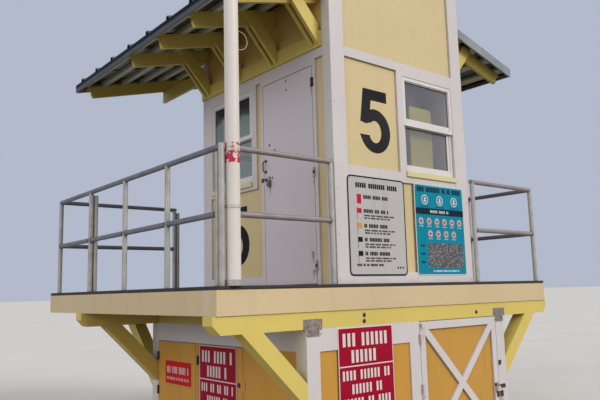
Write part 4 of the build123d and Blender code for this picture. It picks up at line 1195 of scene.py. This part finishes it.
grey_white = vinyl("sign_grey_white", paint(190, 186, 184))
sign_black = vinyl("sign_black", paint(24, 22, 26), fade=0.0)
sign_white = vinyl("sign_white", paint(222, 214, 212))
sign_red = vinyl("sign_flag_red", paint(200, 22, 56))
sign_amber = vinyl("sign_amber", paint(214, 152, 66))
sign_teal = vinyl("sign_teal", paint(0, 134, 160), fade=0.04)
sign_slate = vinyl("sign_slate", paint(8, 40, 56), fade=0.02)
crimson = vinyl("sign_crimson", paint(160, 6, 42), fade=0.08)
bright_red = vinyl("sign_bright_red", paint(204, 22, 34), fade=0.1)
print("vinyls:", sorted(material.name for material in bpy.data.materials if "sign_" in material.name))

# %% [markdown]
# The plates carry rows of plain blocks of many lengths. The lengths could be typed in, but a chooser with
# a fixed seed gives such a row in one line of code, and the same blocks each time.

# %% Layers, bands and blocks
SIGN_THICKNESS = 0.004
LAYER = 0.0006


def band(left, bottom, width, height, back, number):
    """A plain upright rectangle of one layer."""
    right_side, top = left + width, bottom + height
    return ([(left, bottom), (right_side, bottom), (right_side, top), (left, top)], back, LAYER, number)


def word_blocks(chooser, left, width, middle, height, back, number, letter=0.62, gap=0.22):
    """A row of plain blocks, a gap here and there, centred between left and left + width."""
    pitch = height * letter
    shapes = []
    count = int(width / pitch)
    start = left + (width - count * pitch) / 2
    run = chooser.randint(2, 6)
    for index in range(count):
        if run == 0:
            run = chooser.randint(2, 8)
            continue
        run -= 1
        block = (start + index * pitch, middle - height / 2, pitch * (1 - gap), height)
        shapes.append(band(*block, back, number))
    return shapes


print("blocks in a line of half a metre:", len(word_blocks(random.Random(1), 0, 0.5, 0, 0.03, 0, 1)))

# %% The flag board at the front
FLAG_BOARD = (-0.818, 1.738, 0.757, 0.912, 0.045)
FLAG_ROWS = ((2.478, 2), (2.349, 2), (2.213, 3), (2.087, 1), (1.961, 1))


def inset_plate(plate, inset):
    """A plate's outline drawn in by inset. A plate is its left, bottom, width, height and corner radius."""
    left, bottom, width, height, corner = plate
    return rounded_plate(left + inset, bottom + inset, width - 2 * inset, height - 2 * inset, corner - inset)


def flag_row(chooser, left, top, face, number, first):
    """A plain flag and blocks beside it. Each but the first is on a thin pole and has small blocks too."""
    tall = 0.088 if first else 0.045
    shapes = [band(left + 0.115, top - tall, 0.055, tall, face, number)]
    if not first:
        shapes.append(band(left + 0.111, top - 0.105, 0.004, 0.11, face, 1))
    shapes += word_blocks(chooser, left + 0.19, 0.34, top - 0.022, 0.034, face, 1, 0.6)
    if not first:
        shapes += word_blocks(chooser, left + 0.20, 0.40, top - 0.064, 0.015, face, 1, 0.8)
        shapes += word_blocks(chooser, left + 0.20, 0.34, top - 0.088, 0.015, face, 1, 0.8)
    return shapes


def flag_board():
    """A pale plate with a black line round it, five rows of flags and blocks, and three dots."""
    chooser = random.Random(11)
    left, bottom, width, height, corner = FLAG_BOARD
    line = 0.014
    inset = 0.001
    shapes = [
        (inset_plate(FLAG_BOARD, 0.0), 0.0, SIGN_THICKNESS, 0),
        (inset_plate(FLAG_BOARD, inset), SIGN_THICKNESS, LAYER, 1),
        (inset_plate(FLAG_BOARD, inset + line), SIGN_THICKNESS + LAYER, LAYER, 0)]
    face = SIGN_THICKNESS + 2 * LAYER
    shapes += word_blocks(chooser, left + 0.10, width - 0.20, bottom + height - 0.088, 0.046, face, 1, 0.6)
    for row, (top, number) in enumerate(FLAG_ROWS):
        shapes += flag_row(chooser, left, top, face, number, row == 0)
    shapes += word_blocks(chooser, left + 0.09, 0.34, bottom + 0.098, 0.022, face, 1, 0.7)
    for step in range(3):
        centre = (left + width - 0.135 + 0.035 * step, bottom + 0.075)
        shapes.append((disc(centre, 0.011, 10), face, LAYER, 1))
    return cut_shapes("flag_board", shapes, on_trim)


on_trim = wall_at((0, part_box("hut_bands")[0].y, 0), (1, 0, 0), FRONT)
fit_piece("flag_board", flag_board(), "tower", materials=[grey_white, sign_black, sign_red, sign_amber])
print("rows of the flag board:", len(FLAG_ROWS))

# %% Roundels and ringed discs
def roundel(chooser, u, bottom, face):
    """A white ring round a plain head and shoulders, with small blocks under it."""
    v = bottom + 0.752
    shapes = [
        (disc((u, v), 0.050), face, LAYER, 2),
        (disc((u, v), 0.040), face + LAYER, LAYER, 0),
        (disc((u, v + 0.012), 0.014, 10), face + 2 * LAYER, LAYER, 2),
        band(u - 0.018, v - 0.024, 0.036, 0.022, face + 2 * LAYER, 2)]
    return shapes + word_blocks(chooser, u - 0.07, 0.14, bottom + 0.682, 0.009, face, 1, 0.9)


def ringed_disc(chooser, u, v, face):
    """A white disc with a red ring and a dark square, with small blocks under it."""
    shapes = [
        (disc((u, v), 0.036), face, LAYER, 2),
        (disc((u, v), 0.031), face + LAYER, LAYER, 3),
        (disc((u, v), 0.024), face + 2 * LAYER, LAYER, 2),
        band(u - 0.012, v - 0.012, 0.024, 0.024, face + 3 * LAYER, 1)]
    return shapes + word_blocks(chooser, u - 0.035, 0.07, v - 0.05, 0.008, face, 2, 0.9)


print("layers of a roundel and its blocks:", len(roundel(random.Random(1), 0, 0, 0)))

# %% The teal board at the front
TEAL_BOARD = (0.086, 1.740, 0.772, 0.907, 0.03)
TEAL_EDGE = 0.009
ROUNDEL_SHARES = (0.20, 0.50, 0.80)
DISC_ROWS = ((6, 0.535, 0.11, 0.89), (4, 0.412, 0.28, 0.76))


def teal_board():
    """A teal plate with three roundels, a dark band, two rows of ringed discs and a grey panel."""
    chooser = random.Random(23)
    left, bottom, width, height, corner = TEAL_BOARD
    shapes = [
        (inset_plate(TEAL_BOARD, 0.0), 0.0, SIGN_THICKNESS, 2),
        (inset_plate(TEAL_BOARD, TEAL_EDGE), SIGN_THICKNESS, LAYER, 0)]
    face = SIGN_THICKNESS + LAYER
    shapes += word_blocks(chooser, left + 0.03, width - 0.06, bottom + height - 0.052, 0.050, face, 1, 0.55)
    for share in ROUNDEL_SHARES:
        shapes += roundel(chooser, left + share * width, bottom, face)
    shapes.append(band(left + TEAL_EDGE, bottom + 0.604, width - 2 * TEAL_EDGE, 0.064, face, 1))
    on_band = face + LAYER
    shapes += word_blocks(chooser, left + 0.22, width - 0.44, bottom + 0.636, 0.028, on_band, 2, 0.7, 0.4)
    for count, level, begin, end in DISC_ROWS:
        for u in spread(left + begin * width, left + end * width, (end - begin) * width / (count - 1)):
            shapes += ringed_disc(chooser, u, bottom + level, face)
    shapes.append(band(left + 0.165, bottom + 0.075, 0.56, 0.245, face, 4))
    for level in (0.29, 0.21, 0.13):
        shapes += word_blocks(chooser, left + 0.06, 0.085, bottom + level, 0.02, face, 1, 0.8)
    shapes += word_blocks(chooser, left + 0.23, 0.42, bottom + 0.042, 0.016, face, 2, 0.8)
    return cut_shapes("teal_board", shapes, on_trim)


def scuffed_panel(name):
    """A grey panel that blown grit has scoured into pale flecks."""
    look = Finish(name)
    flecks = look.remap(look.cloud(60, detail=6.0), 0.5, 0.62)
    tone = look.mix(flecks, paint(70, 70, 76), paint(140, 138, 140))
    return look.end(Base_Color=tone, Roughness=0.7)


fit_piece("teal_board", teal_board(), "tower",
          materials=[sign_teal, sign_slate, sign_white, sign_red, scuffed_panel("scoured_grey_panel")])
print("discs on the teal board:", sum(row[0] for row in DISC_ROWS))

# %% The dark red and bright red plates of the store
RED_PLATE_SIZE = (0.667, 0.91)
RED_PLATE_DIVIDE = 0.325
RED_PLATE_THICKNESS = 0.003
RED_PLATE_EDGE = 0.008
FRONT_RED_PLATE = (-1.035, 1.300)
NEAR_RED_PLATE = (0.467, 1.112)
SMALL_RED_PLATE = (-0.257, 0.680, 0.545, 0.235)
BLOCK_ROWS = (
    (0.105, 0.112, 0.92, 0.5, 0.42), (0.245, 0.105, 0.58, 0.5, 0.42),
    (0.40, 0.080, 0.90, 0.52, 0.44), (0.515, 0.080, 0.62, 0.52, 0.44),
    (0.63, 0.080, 0.88, 0.52, 0.44), (0.745, 0.080, 0.72, 0.52, 0.44))


def dark_red_plate(name, body, wall, left, top, seed):
    """A dark red plate with a white edge, a white line across it and white blocks in two sizes."""
    chooser = random.Random(seed)
    width, height = RED_PLATE_SIZE
    edge = RED_PLATE_EDGE
    bottom = top - height
    inside = rounded_plate(left + edge, bottom + edge, width - 2 * edge, height - 2 * edge, 0.006)
    shapes = [
        (rounded_plate(left, bottom, width, height, 0.012), 0.0, RED_PLATE_THICKNESS, 1),
        (inside, RED_PLATE_THICKNESS, LAYER, 0)]
    face = RED_PLATE_THICKNESS + LAYER
    shapes.append(band(left + edge, top - RED_PLATE_DIVIDE - 0.005, width - 2 * edge, 0.010, face, 1))
    for drop, tall, share, letter, gap in BLOCK_ROWS:
        start = left + width * (1 - share) / 2
        shapes += word_blocks(chooser, start, width * share, top - drop, tall, face, 1, letter, gap)
    mesh = cut_shapes(name, shapes, wall)
    return fit_piece(name, mesh, body, materials=[crimson, sign_white])


on_base_front = wall_at((0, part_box("base_posts")[0].y, 0), (1, 0, 0), FRONT)
leaf_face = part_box("side_door_near")[0].x
on_leaf = wall_at((leaf_face - 0.0025, 0, 0), (0, -1, 0), LEFT)
dark_red_plate("front_red_plate", "tower", on_base_front, *FRONT_RED_PLATE, 3)
dark_red_plate("near_locker_red_plate", "near_locker_leaf", on_leaf, *NEAR_RED_PLATE, 4)


def small_red_plate():
    """A bright red plate with one row of tall blocks and one of small ones."""
    chooser = random.Random(8)
    left, bottom, width, height = SMALL_RED_PLATE
    face = RED_PLATE_THICKNESS
    shapes = [(rounded_plate(left, bottom, width, height, 0.008), 0.0, face, 0)]
    shapes += word_blocks(chooser, left + 0.03, width - 0.06, bottom + 0.145, 0.070, face, 1, 0.42, 0.5)
    shapes += word_blocks(chooser, left + 0.03, width - 0.06, bottom + 0.055, 0.028, face, 1, 0.6, 0.5)
    return cut_shapes("far_locker_red_plate", shapes, on_leaf)


fit_piece("far_locker_red_plate", small_red_plate(), "far_locker_leaf", materials=[bright_red, sign_white])


def made_pieces(*endings):
    """The names of the pieces so far that end in one of these."""
    return sorted(piece.name for piece in bpy.data.objects if piece.name.endswith(endings))


print("signs:", made_pieces("_board", "_plate"))

# %% [markdown]
# ## Beads round the panes
# A pane is held in its sash by thin beads of wood with a line of dark putty along them. The sashes come from
# the construction, so only the beads are made here, as frames fitted to each pane's own box. The dark line
# is widest at the top and the right of a pane, where it is painted shadow, the shade that the frame casts on
# the glass. The lower bead of the front window's upper sash, where the two sashes meet, is broad, and so is
# the right one of its lower sash.

# %% Window beads, putty lines and painted shadow
BEAD_WIDTH = 0.010
BROAD_BEAD = 0.036
BEAD_DEPTH = 0.008
# Left, right, lower and upper: the dark line is widened at the top and the right into painted shadow.
PUTTY_AND_SHADOW_WIDTHS = (0.002, 0.008, 0.002, 0.008)
PUTTY_AND_SHADOW_DEPTH = 0.002
UPPER_SASH = 3.2
GLAZED_WALLS = {
    "front": (FRONT, Vector((1, 0, 0))),
    "sea": (BACK, Vector((-1, 0, 0))),
    "door_side": (LEFT, Vector((0, -1, 0))),
    "right": (RIGHT, Vector((0, 1, 0)))}


def picture_frame(left, bottom, right_side, top, widths):
    """Four flat bars round an opening: widths are those of the left, right, lower and upper bar."""
    in_left, in_right = left + widths[0], right_side - widths[1]
    in_bottom, in_top = bottom + widths[2], top - widths[3]
    return [
        [(left, bottom), (in_left, in_bottom), (in_left, in_top), (left, top)],
        [(right_side, bottom), (right_side, top), (in_right, in_top), (in_right, in_bottom)],
        [(left, bottom), (right_side, bottom), (in_right, in_bottom), (in_left, in_bottom)],
        [(left, top), (in_left, in_top), (in_right, in_top), (right_side, top)]]


def glazed_wall(low, high):
    """The name of the wall that a pane is in."""
    facing = side_of(low, high)
    return next(name for name, (outwards, along) in GLAZED_WALLS.items() if outwards == facing)


def bead_widths(wall, low):
    """The left, right, lower and upper bead of a pane."""
    if wall != "front":
        return (BEAD_WIDTH, BEAD_WIDTH, BEAD_WIDTH, BEAD_WIDTH)
    if low.z > UPPER_SASH:
        return (BEAD_WIDTH, BEAD_WIDTH, BROAD_BEAD, BEAD_WIDTH)
    return (BEAD_WIDTH, BROAD_BEAD, BEAD_WIDTH, BEAD_WIDTH)


def pane_beads():
    """One mesh for each wall with a window, its beads outside the glass."""
    panes = solid_boxes("window_glass")
    shapes = {wall: [] for wall in GLAZED_WALLS}
    for low, high in panes:
        wall = glazed_wall(low, high)
        facing, along = GLAZED_WALLS[wall]
        level = max(low.dot(facing), high.dot(facing))
        ends = sorted((low.dot(along), high.dot(along)))
        widths = bead_widths(wall, low)
        for outline in picture_frame(ends[0], low.z, ends[1], high.z, widths):
            shapes[wall].append((outline, level, BEAD_DEPTH, 0))
        inner = (ends[0] + widths[0], low.z + widths[2], ends[1] - widths[1], high.z - widths[3])
        # Dark lines inside the beads: putty, widened at the top and the right into painted shadow.
        for outline in picture_frame(*inner, PUTTY_AND_SHADOW_WIDTHS):
            shapes[wall].append((outline, level, PUTTY_AND_SHADOW_DEPTH, 1))
    for wall, (facing, along) in GLAZED_WALLS.items():
        mesh = cut_shapes(wall + "_pane_beads", shapes[wall], wall_at((0, 0, 0), along, facing))
        fit_piece(wall + "_pane_beads", mesh, "tower", materials=[sash_paint, dark_putty])
    return len(panes)


# Near black for the putty and the painted shadow beside it.
dark_putty = weathered("dark_putty", paint(34, 31, 33), paint(90, 86, 82), 0.2, 0.2, 0.0, 0.7)
print("panes with beads:", pane_beads())

# %% [markdown]
# ## Rods, hasps and padlocks
# A padlock is a block with softened edges and a bent rod, and a pull handle is a bent rod alone. A rod bent
# in code ring by ring is long-winded, while a curve with a round bevel is a bent rod already, so each is
# drawn as a curve and turned into a mesh. Locks hang on the leaf that they lock, so that they swing with
# it.

# %% A bent rod, and several meshes as one
def bent_rod(points, radius):
    """A round rod along points, its ends closed."""
    curve = bpy.data.curves.new("rod", "CURVE")
    curve.dimensions = "3D"
    curve.bevel_depth = radius
    curve.bevel_resolution = 2
    curve.use_fill_caps = True
    spline = curve.splines.new("POLY")
    spline.points.add(len(points) - 1)
    for knot, spot in zip(spline.points, points):
        knot.co = (*spot, 1)
    holder = bpy.data.objects.new("rod", curve)
    bpy.context.scene.collection.objects.link(holder)
    bpy.context.view_layer.update()
    mesh = bpy.data.meshes.new_from_object(holder.evaluated_get(bpy.context.evaluated_depsgraph_get()))
    bpy.data.objects.remove(holder)
    return mesh


def joined(name, parts):
    """One mesh out of several, each with the number of its material."""
    build = bmesh.new()
    for mesh, number in parts:
        before = len(build.faces)
        build.from_mesh(mesh)
        build.faces.ensure_lookup_table()
        for face in build.faces[before:]:
            face.material_index = number
    bmesh.ops.recalc_face_normals(build, faces=build.faces)
    result = bpy.data.meshes.new(name)
    build.to_mesh(result)
    build.free()
    return result


def soft_block(outline, back, thickness, number, edge=0.002):
    """A block in two steps, the front one a little smaller, so that its front edge is softened."""
    middle = (sum(u for u, v in outline) / len(outline), sum(v for u, v in outline) / len(outline))
    reach = max(abs(u - middle[0]) for u, v in outline)
    share = 1 - edge / reach
    inner = [(middle[0] + (u - middle[0]) * share, middle[1] + (v - middle[1]) * share) for u, v in outline]
    return [(outline, back, thickness - edge, number), (inner, back + thickness - edge, edge, number)]


print("steps of a soft block:", len(soft_block(rounded_plate(0, 0, 0.05, 0.05, 0.008), 0, 0.02, 0)))

# %% A padlock on its staple
LOCK_DEPTH = 0.024
LOCK_CLEAR = 0.006
SHACKLE_RADIUS = 0.004
STAPLE_ANGLES = (-1.2, -0.8, -0.4, 0.0, 0.4, 0.8, 1.2)


def padlock(name, body, wall, centre, top, width, height, metal):
    """A block hanging under a shackle, which goes through a small staple in the wall."""
    block = rounded_plate(centre - width / 2, top - height, width, height, 0.008)
    foot = rounded_plate(centre - width * 0.32, top - height * 0.96, width * 0.64, height * 0.2, 0.003)
    staple_plate = rounded_plate(centre - 0.011, top + 0.012, 0.022, 0.026, 0.004)
    shapes = soft_block(block, LOCK_CLEAR, LOCK_DEPTH, 0, 0.003)
    shapes += soft_block(foot, LOCK_CLEAR + LOCK_DEPTH, 0.002, 1, 0.0008)
    shapes += soft_block(staple_plate, 0.0, LOCK_CLEAR, 1, 0.001)
    half = width * 0.30
    hang = LOCK_CLEAR + LOCK_DEPTH / 2
    bend = arc((centre, top + 0.016), half, 180, 0, 10)
    path = [(centre - half, top - 0.004), *bend, (centre + half, top - 0.004)]
    shackle = bent_rod([wall(u, v, hang) for u, v in path], SHACKLE_RADIUS)
    hoop = [(0.030 * math.sin(angle), 0.024 * math.cos(angle)) for angle in STAPLE_ANGLES]
    staple = bent_rod([wall(centre, top + 0.016 + v, 0.004 + w) for v, w in hoop], 0.003)
    mesh = joined(name, [(cut_shapes(name + "_body", shapes, wall), 0), (shackle, 1), (staple, 1)])
    return fit_piece(name, mesh, body, materials=[metal, lock_steel])


lock_brass = rusty_finish("tarnished_lock_body", paint(116, 104, 92), 0.2)
lock_steel = pipe_finish("bright_lock_steel", paint(208, 210, 214), 0.3, 0.15)
leaf_wall = wall_at((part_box("hut_door")[0].x, 0, 0), (0, -1, 0), LEFT)
front_leaf_wall = wall_at((0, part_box("front_door_frame")[0].y, 0), (1, 0, 0), FRONT)
padlock("hut_door_padlock", "hut_door_leaf", leaf_wall, 1.150, 2.722, 0.050, 0.062, lock_brass)
padlock("front_door_padlock", "front_locker_leaf", front_leaf_wall, 1.190, 0.588, 0.056, 0.050, lock_steel)
print("padlocks:", made_pieces("_padlock"))


# %% Hasps, keepers and the pull handle
def strap_plate(left, bottom, width, height, thickness=0.004):
    """A flat plate with rounded corners and a softened edge."""
    outline = rounded_plate(left, bottom, width, height, min(width, height) * 0.2)
    return soft_block(outline, 0.0, thickness, 0, 0.001)


def fitting(name, body, wall, plates, metal, rods=()):
    """Flat plates, each left, bottom, width and height, and bent rods, as one piece."""
    shapes = [shape for plate in plates for shape in strap_plate(*plate)]
    parts = [(cut_shapes(name + "_plates", shapes, wall), 0)]
    for points, radius in rods:
        parts.append((bent_rod([wall(*point) for point in points], radius), 0))
    return fit_piece(name, joined(name, parts), body, materials=[metal])


HANDLE = (
    (1.086, 2.815, 0.002), (1.086, 2.820, 0.030), (1.087, 2.835, 0.038),
    (1.088, 2.905, 0.038), (1.089, 2.920, 0.030), (1.089, 2.925, 0.002))
HOOK = (
    (1.262, 0.842, 0.002), (1.262, 0.842, 0.020), (1.252, 0.828, 0.024),
    (1.250, 0.808, 0.016), (1.250, 0.800, 0.003))
HUT_DOOR_PLATES = ((1.064, 2.722, 0.062, 0.030), (1.074, 2.800, 0.026, 0.032), (1.076, 2.910, 0.026, 0.032))
KEEPER_PLATES = ((1.240, 0.796, 0.034, 0.052), (1.238, 0.560, 0.098, 0.040), (1.238, 0.474, 0.054, 0.062))
FRONT_HASP_PLATES = ((1.176, 0.478, 0.046, 0.058), (1.150, 0.590, 0.072, 0.030))
NEAR_HASP_PLATE = (1.152, 0.732, 0.122, 0.105)
NEAR_LATCH_PLATE = (1.158, 0.762, 0.036, 0.038, 0.010)
HASP_THICKNESS = 0.004

hasp_black = rusty_finish("rusty_hasp", paint(34, 32, 32), 0.5)
casing_wall = wall_at((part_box("door_casing")[0].x, 0, 0), (0, -1, 0), LEFT)
post_wall = wall_at((0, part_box("base_posts")[0].y, 0), (1, 0, 0), FRONT)
near_face = wall_at((leaf_face, 0, 0), (0, -1, 0), LEFT)
near_hasp_face = wall_at((leaf_face - HASP_THICKNESS, 0, 0), (0, -1, 0), LEFT)
fitting("hut_door_hasp", "hut_door_leaf", leaf_wall, HUT_DOOR_PLATES, hasp_black, [(HANDLE, 0.006)])
fitting("hut_door_keeper", "tower", casing_wall, [(1.010, 2.716, 0.038, 0.042)], hasp_black)
fitting("front_door_keeper", "tower", post_wall, KEEPER_PLATES, hasp_black, [(HOOK, 0.004)])
fitting("front_door_hasp", "front_locker_leaf", front_leaf_wall, FRONT_HASP_PLATES, hasp_black)
fitting("near_locker_hasp", "near_locker_leaf", near_face, [NEAR_HASP_PLATE], store_paint)
fitting("near_locker_latch", "near_locker_leaf", near_hasp_face, [NEAR_LATCH_PLATE], hasp_black)
print("fittings:", made_pieces("_hasp", "_keeper", "_latch"))

# %% [markdown]
# ## Tape and wire on the flag pole
# Where the rail's strap holds the pole, the pole is wrapped in red and white tape that has worn through,
# and higher up a loop of wire sticks out for the flag's line. The tape is a sleeve about a millimetre proud
# of the pole, and its material holds the torn pattern: more red below the strap and more white above it.
# Strips of real tape could be wrapped round and cut, but what is seen of them is only where red is left.

# %% The sleeve of tape and the wire loop
TAPE_ENDS = (2.608, 2.766)
TAPE_THICKNESS = 0.0012
STRAP_LEVEL = (2.690, 2.712)
POLE_SIDES = 48
WIRE_LOOP = (-1.977, 3.621, 0.077)


def tape_finish(name):
    """Red tape below and above a strap, worn to white in blots, with more of them above it."""
    look = Finish(name)
    height = look.add("SeparateXYZ", inputs={0: look.place}).outputs[2]
    held = look.remap(height, *STRAP_LEVEL, 0.61, 0.525)
    blots = look.cloud(26, (1, 1, 0.8), 3.0, 11.0)
    red_left = look.remap(look.maths("ADD", blots, held), 1.04, 1.08)
    worn = look.remap(look.cloud(90, detail=3.0), 0.3, 0.7, 0.88, 1.06)
    tone = look.mix(red_left, paint(216, 208, 196), paint(196, 24, 58))
    return look.end(Base_Color=look.mix(1.0, tone, worn, "MULTIPLY"), Roughness=0.55)


pole_low, pole_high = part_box("flag_pole")
pole_centre = ((pole_low.x + pole_high.x) / 2, (pole_low.y + pole_high.y) / 2)
pole_radius = (pole_high.x - pole_low.x) / 2


def tape_sleeve():
    """A thin sleeve round the pole, its inner face just inside the pole's own."""
    build = bmesh.new()
    rings = []
    inside, outside = pole_radius - 0.001, pole_radius + TAPE_THICKNESS
    foot, head = TAPE_ENDS
    for radius, level in ((inside, foot), (outside, foot), (outside, head), (inside, head)):
        rings.append([build.verts.new((x, y, level)) for x, y in disc(pole_centre, radius, POLE_SIDES)])
    for index, ring in enumerate(rings):
        after = rings[(index + 1) % len(rings)]
        for side in range(POLE_SIDES):
            onward = (side + 1) % POLE_SIDES
            build.faces.new((ring[side], ring[onward], after[onward], after[side]))
    bmesh.ops.recalc_face_normals(build, faces=build.faces)
    mesh = bpy.data.meshes.new("pole_tape")
    build.to_mesh(mesh)
    build.free()
    return mesh


fit_piece("pole_tape", tape_sleeve(), "tower", materials=[tape_finish("torn_red_white_tape")])
loop_x, loop_z, loop_radius = WIRE_LOOP
reach = math.degrees(math.acos((pole_high.x - 0.006 - loop_x) / loop_radius))
loop = [(x, pole_centre[1], z) for x, z in arc((loop_x, loop_z), loop_radius, -reach, reach, 28)]
wire = pipe_finish("pale_wire", paint(216, 214, 206), 0.4, 0.2)
fit_piece("pole_wire_loop", bent_rod(loop, 0.002), "tower", materials=[wire])
print("pole tape from", TAPE_ENDS[0], "to", TAPE_ENDS[1])

# %% [markdown]
# ## Screws and weld rings
# The last heads hold the signs, the hinges and the ladder. A hinge screw has to lie on the plate and not on
# its knuckle, so a ray from outside finds the face, as it did on the roof. The middle rails are welded to
# their posts, and a weld is a raised ring: the head rule makes that too, with a washer a little wider than
# the pipe.

# %% Hinge, sign, door and ladder screws
HINGE_SCREW_INSET = 0.014
HINGE_SCREW_PITCH = 0.034
FRONT_LOCKER_Y = -2.15


def seen_from(node_name, spot, facing):
    """Where a straight line from outside lands on a node, going against facing."""
    start = Vector(spot) + facing * 0.5
    hit, point, normal, index = cad_nodes[node_name].ray_cast(start, -facing)
    return (point, facing) if hit else None


def hinge_places(node_name, facing_of, aside):
    """Screws up the free edge of each hinge plate. aside is how far they lie from the plate's edge."""
    places = []
    for low, high in solid_boxes(node_name):
        facing = facing_of(low)
        across = 0 if abs(facing.y) else 1
        for z in spread(low.z + HINGE_SCREW_INSET, high.z - HINGE_SCREW_INSET, HINGE_SCREW_PITCH):
            spot = (low + high) / 2
            spot.z = z
            spot[across] = (low[across] + aside) if aside > 0 else (high[across] + aside)
            place = seen_from(node_name, spot, facing)
            if place:
                places.append(place)
    return places


def front_or_left(low):
    """The front locker's hinges face the front, and all the others face the door side."""
    return FRONT if low.y < FRONT_LOCKER_Y else LEFT


SCREW = {"washer": (0.0042, 0.0004), "head": (0.0034, 0.0010), "sides": 8}
LEAF_HINGES = (
    ("hut_door_hinges", "hut_door_leaf", -0.006),
    ("front_door_hinges", "front_locker_leaf", -0.006),
    ("side_door_far_hinges", "far_locker_leaf", 0.006),
    ("side_door_near_hinges", "near_locker_leaf", 0.006))
frame_screws = hinge_places("frame_hinges", front_or_left, 0.006)
set_heads("frame_hinge_screws", frame_screws, "tower", hinge_metal, **SCREW)
for node_name, body, aside in LEAF_HINGES:
    screws = hinge_places(node_name, front_or_left, aside)
    set_heads(node_name[:-1] + "_screws", screws, body, hinge_metal, **SCREW)
print("frame hinge screws:", len(frame_screws))

# %% Screws of the signs and the hut's door
SIGN_SCREW_INSET = 0.028


def plate_corners(wall, facing, left, bottom, width, height, face, middle=False):
    """Screws at a plate's corners, and at the middle of its upright sides too where middle is set."""
    rows = (bottom + SIGN_SCREW_INSET, bottom + height - SIGN_SCREW_INSET)
    rows = (rows[0], (rows[0] + rows[1]) / 2, rows[1]) if middle else rows
    columns = (left + SIGN_SCREW_INSET, left + width - SIGN_SCREW_INSET)
    return [(wall(u, v, face), facing) for u in columns for v in rows]


def red_plate_corners(wall, facing, place):
    """Six screws through a dark red plate, placed by its upper left corner."""
    bottom = place[1] - RED_PLATE_SIZE[1]
    return plate_corners(wall, facing, place[0], bottom, *RED_PLATE_SIZE, RED_PLATE_THICKNESS, True)


sign_places = plate_corners(on_trim, FRONT, *FLAG_BOARD[:4], SIGN_THICKNESS + 2 * LAYER)
sign_places += plate_corners(on_trim, FRONT, *TEAL_BOARD[:4], SIGN_THICKNESS + LAYER)
sign_places += red_plate_corners(on_base_front, FRONT, FRONT_RED_PLATE)
set_heads("sign_screws", sign_places, "tower", zinc, **SCREW)
near_places = red_plate_corners(on_leaf, LEFT, NEAR_RED_PLATE)
set_heads("near_plate_screws", near_places, "near_locker_leaf", zinc, **SCREW)
far_places = plate_corners(on_leaf, LEFT, *SMALL_RED_PLATE, RED_PLATE_THICKNESS)
set_heads("far_plate_screws", far_places, "far_locker_leaf", zinc, **SCREW)
DOOR_SCREWS = (
    (1.439, 3.675), (1.443, 3.582), (1.154, 3.085),
    (1.241, 3.017), (1.192, 2.744), (1.150, 3.077))
door_places = [(leaf_wall(u, v), LEFT) for u, v in DOOR_SCREWS]
set_heads("hut_door_screws", door_places, "hut_door_leaf", hasp_black, (0.011, 0.0008), (0.009, 0.003), 8)
print("sign screws:", len(sign_places + near_places + far_places), "door screws:", len(door_places))


# %% Bolts of the ladder
LADDER_BOLT_INSET = 0.04


def ladder_places():
    """Two bolts through each stringer into each tread's end."""
    places = []
    ladder_low, ladder_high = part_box("ladder_stringers")
    for low, high in solid_boxes("ladder_treads"):
        z = (low.z + high.z) / 2
        for y in (low.y + LADDER_BOLT_INSET, high.y - LADDER_BOLT_INSET):
            places.append((Vector((ladder_low.x, y, z)), LEFT))
            places.append((Vector((ladder_high.x, y, z)), RIGHT))
    return places


ladder_bolts = ladder_places()
set_heads("ladder_bolts", ladder_bolts, "tower", zinc, (0.014, 0.002), (0.009, 0.006), 6)
print("ladder bolts:", len(ladder_bolts))

# %% Weld rings where the middle rails meet the posts
PIPE_RADIUS = 0.024
COPE_DEPTH = 0.0202
TOP_RAILS_FROM = 2.5
WELD_SINK = 0.002
WELD_WASHER = (PIPE_RADIUS + 0.006, 0.010)
WELD_HEAD = (PIPE_RADIUS + 0.0006, 0.001)


def weld_places():
    """Both ends of each middle rail, at the post that it is coped round or, for one end, at the pole."""
    places = []
    pole_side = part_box("flag_pole")[1].x
    for name in ("front_rails", "side_rails", "sea_rails"):
        for low, high in solid_boxes(name):
            if high.z > TOP_RAILS_FROM:
                continue
            along = 0 if high.x - low.x > high.y - low.y else 1
            middle = (low + high) / 2
            for end, sign in ((low[along] + COPE_DEPTH, 1), (high[along] - COPE_DEPTH, -1)):
                if name == "front_rails" and sign > 0 and end < pole_side + 0.02:
                    end = pole_side
                spot = middle.copy()
                spot[along] = end - sign * WELD_SINK
                places.append((spot, Vector([sign if axis == along else 0 for axis in range(3)])))
    return places


welds = weld_places()
# The weld rings take the side rails' darker pipe, a painted shade.
set_heads("weld_rings", welds, "tower", shaded_side_pipe_metal, WELD_WASHER, WELD_HEAD, 20)
print("weld rings:", len(welds))

# %% [markdown]
# ## What shows through the glass
# Behind the front window one olive board is fixed to the wall's inner face and stands up past the sill. It
# is a plain plank with rounded corners, and it shows only through the panes, so it is one block with the
# paint's wear.

# %% The board inside the hut
INSIDE_BOARD = (0.205, 2.30, 0.345, 1.18)


def inside_board():
    """The board on the front wall's inner face."""
    left, bottom, width, height = INSIDE_BOARD
    inner_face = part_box("hut_wall_front")[1].y
    wall = wall_at((0, inner_face, 0), (1, 0, 0), BACK)
    shapes = soft_block(rounded_plate(left, bottom, width, height, 0.03), 0.0, 0.020, 0, 0.003)
    return cut_shapes("olive_board_inside", shapes, wall)


olive_paint = weathered("olive_board_paint", paint(212, 202, 66), paint(140, 128, 84), 0.2, 0.4, 0.1)
fit_piece("olive_board_inside", inside_board(), "tower", materials=[olive_paint])
print("board inside:", INSIDE_BOARD)

# %% [markdown]
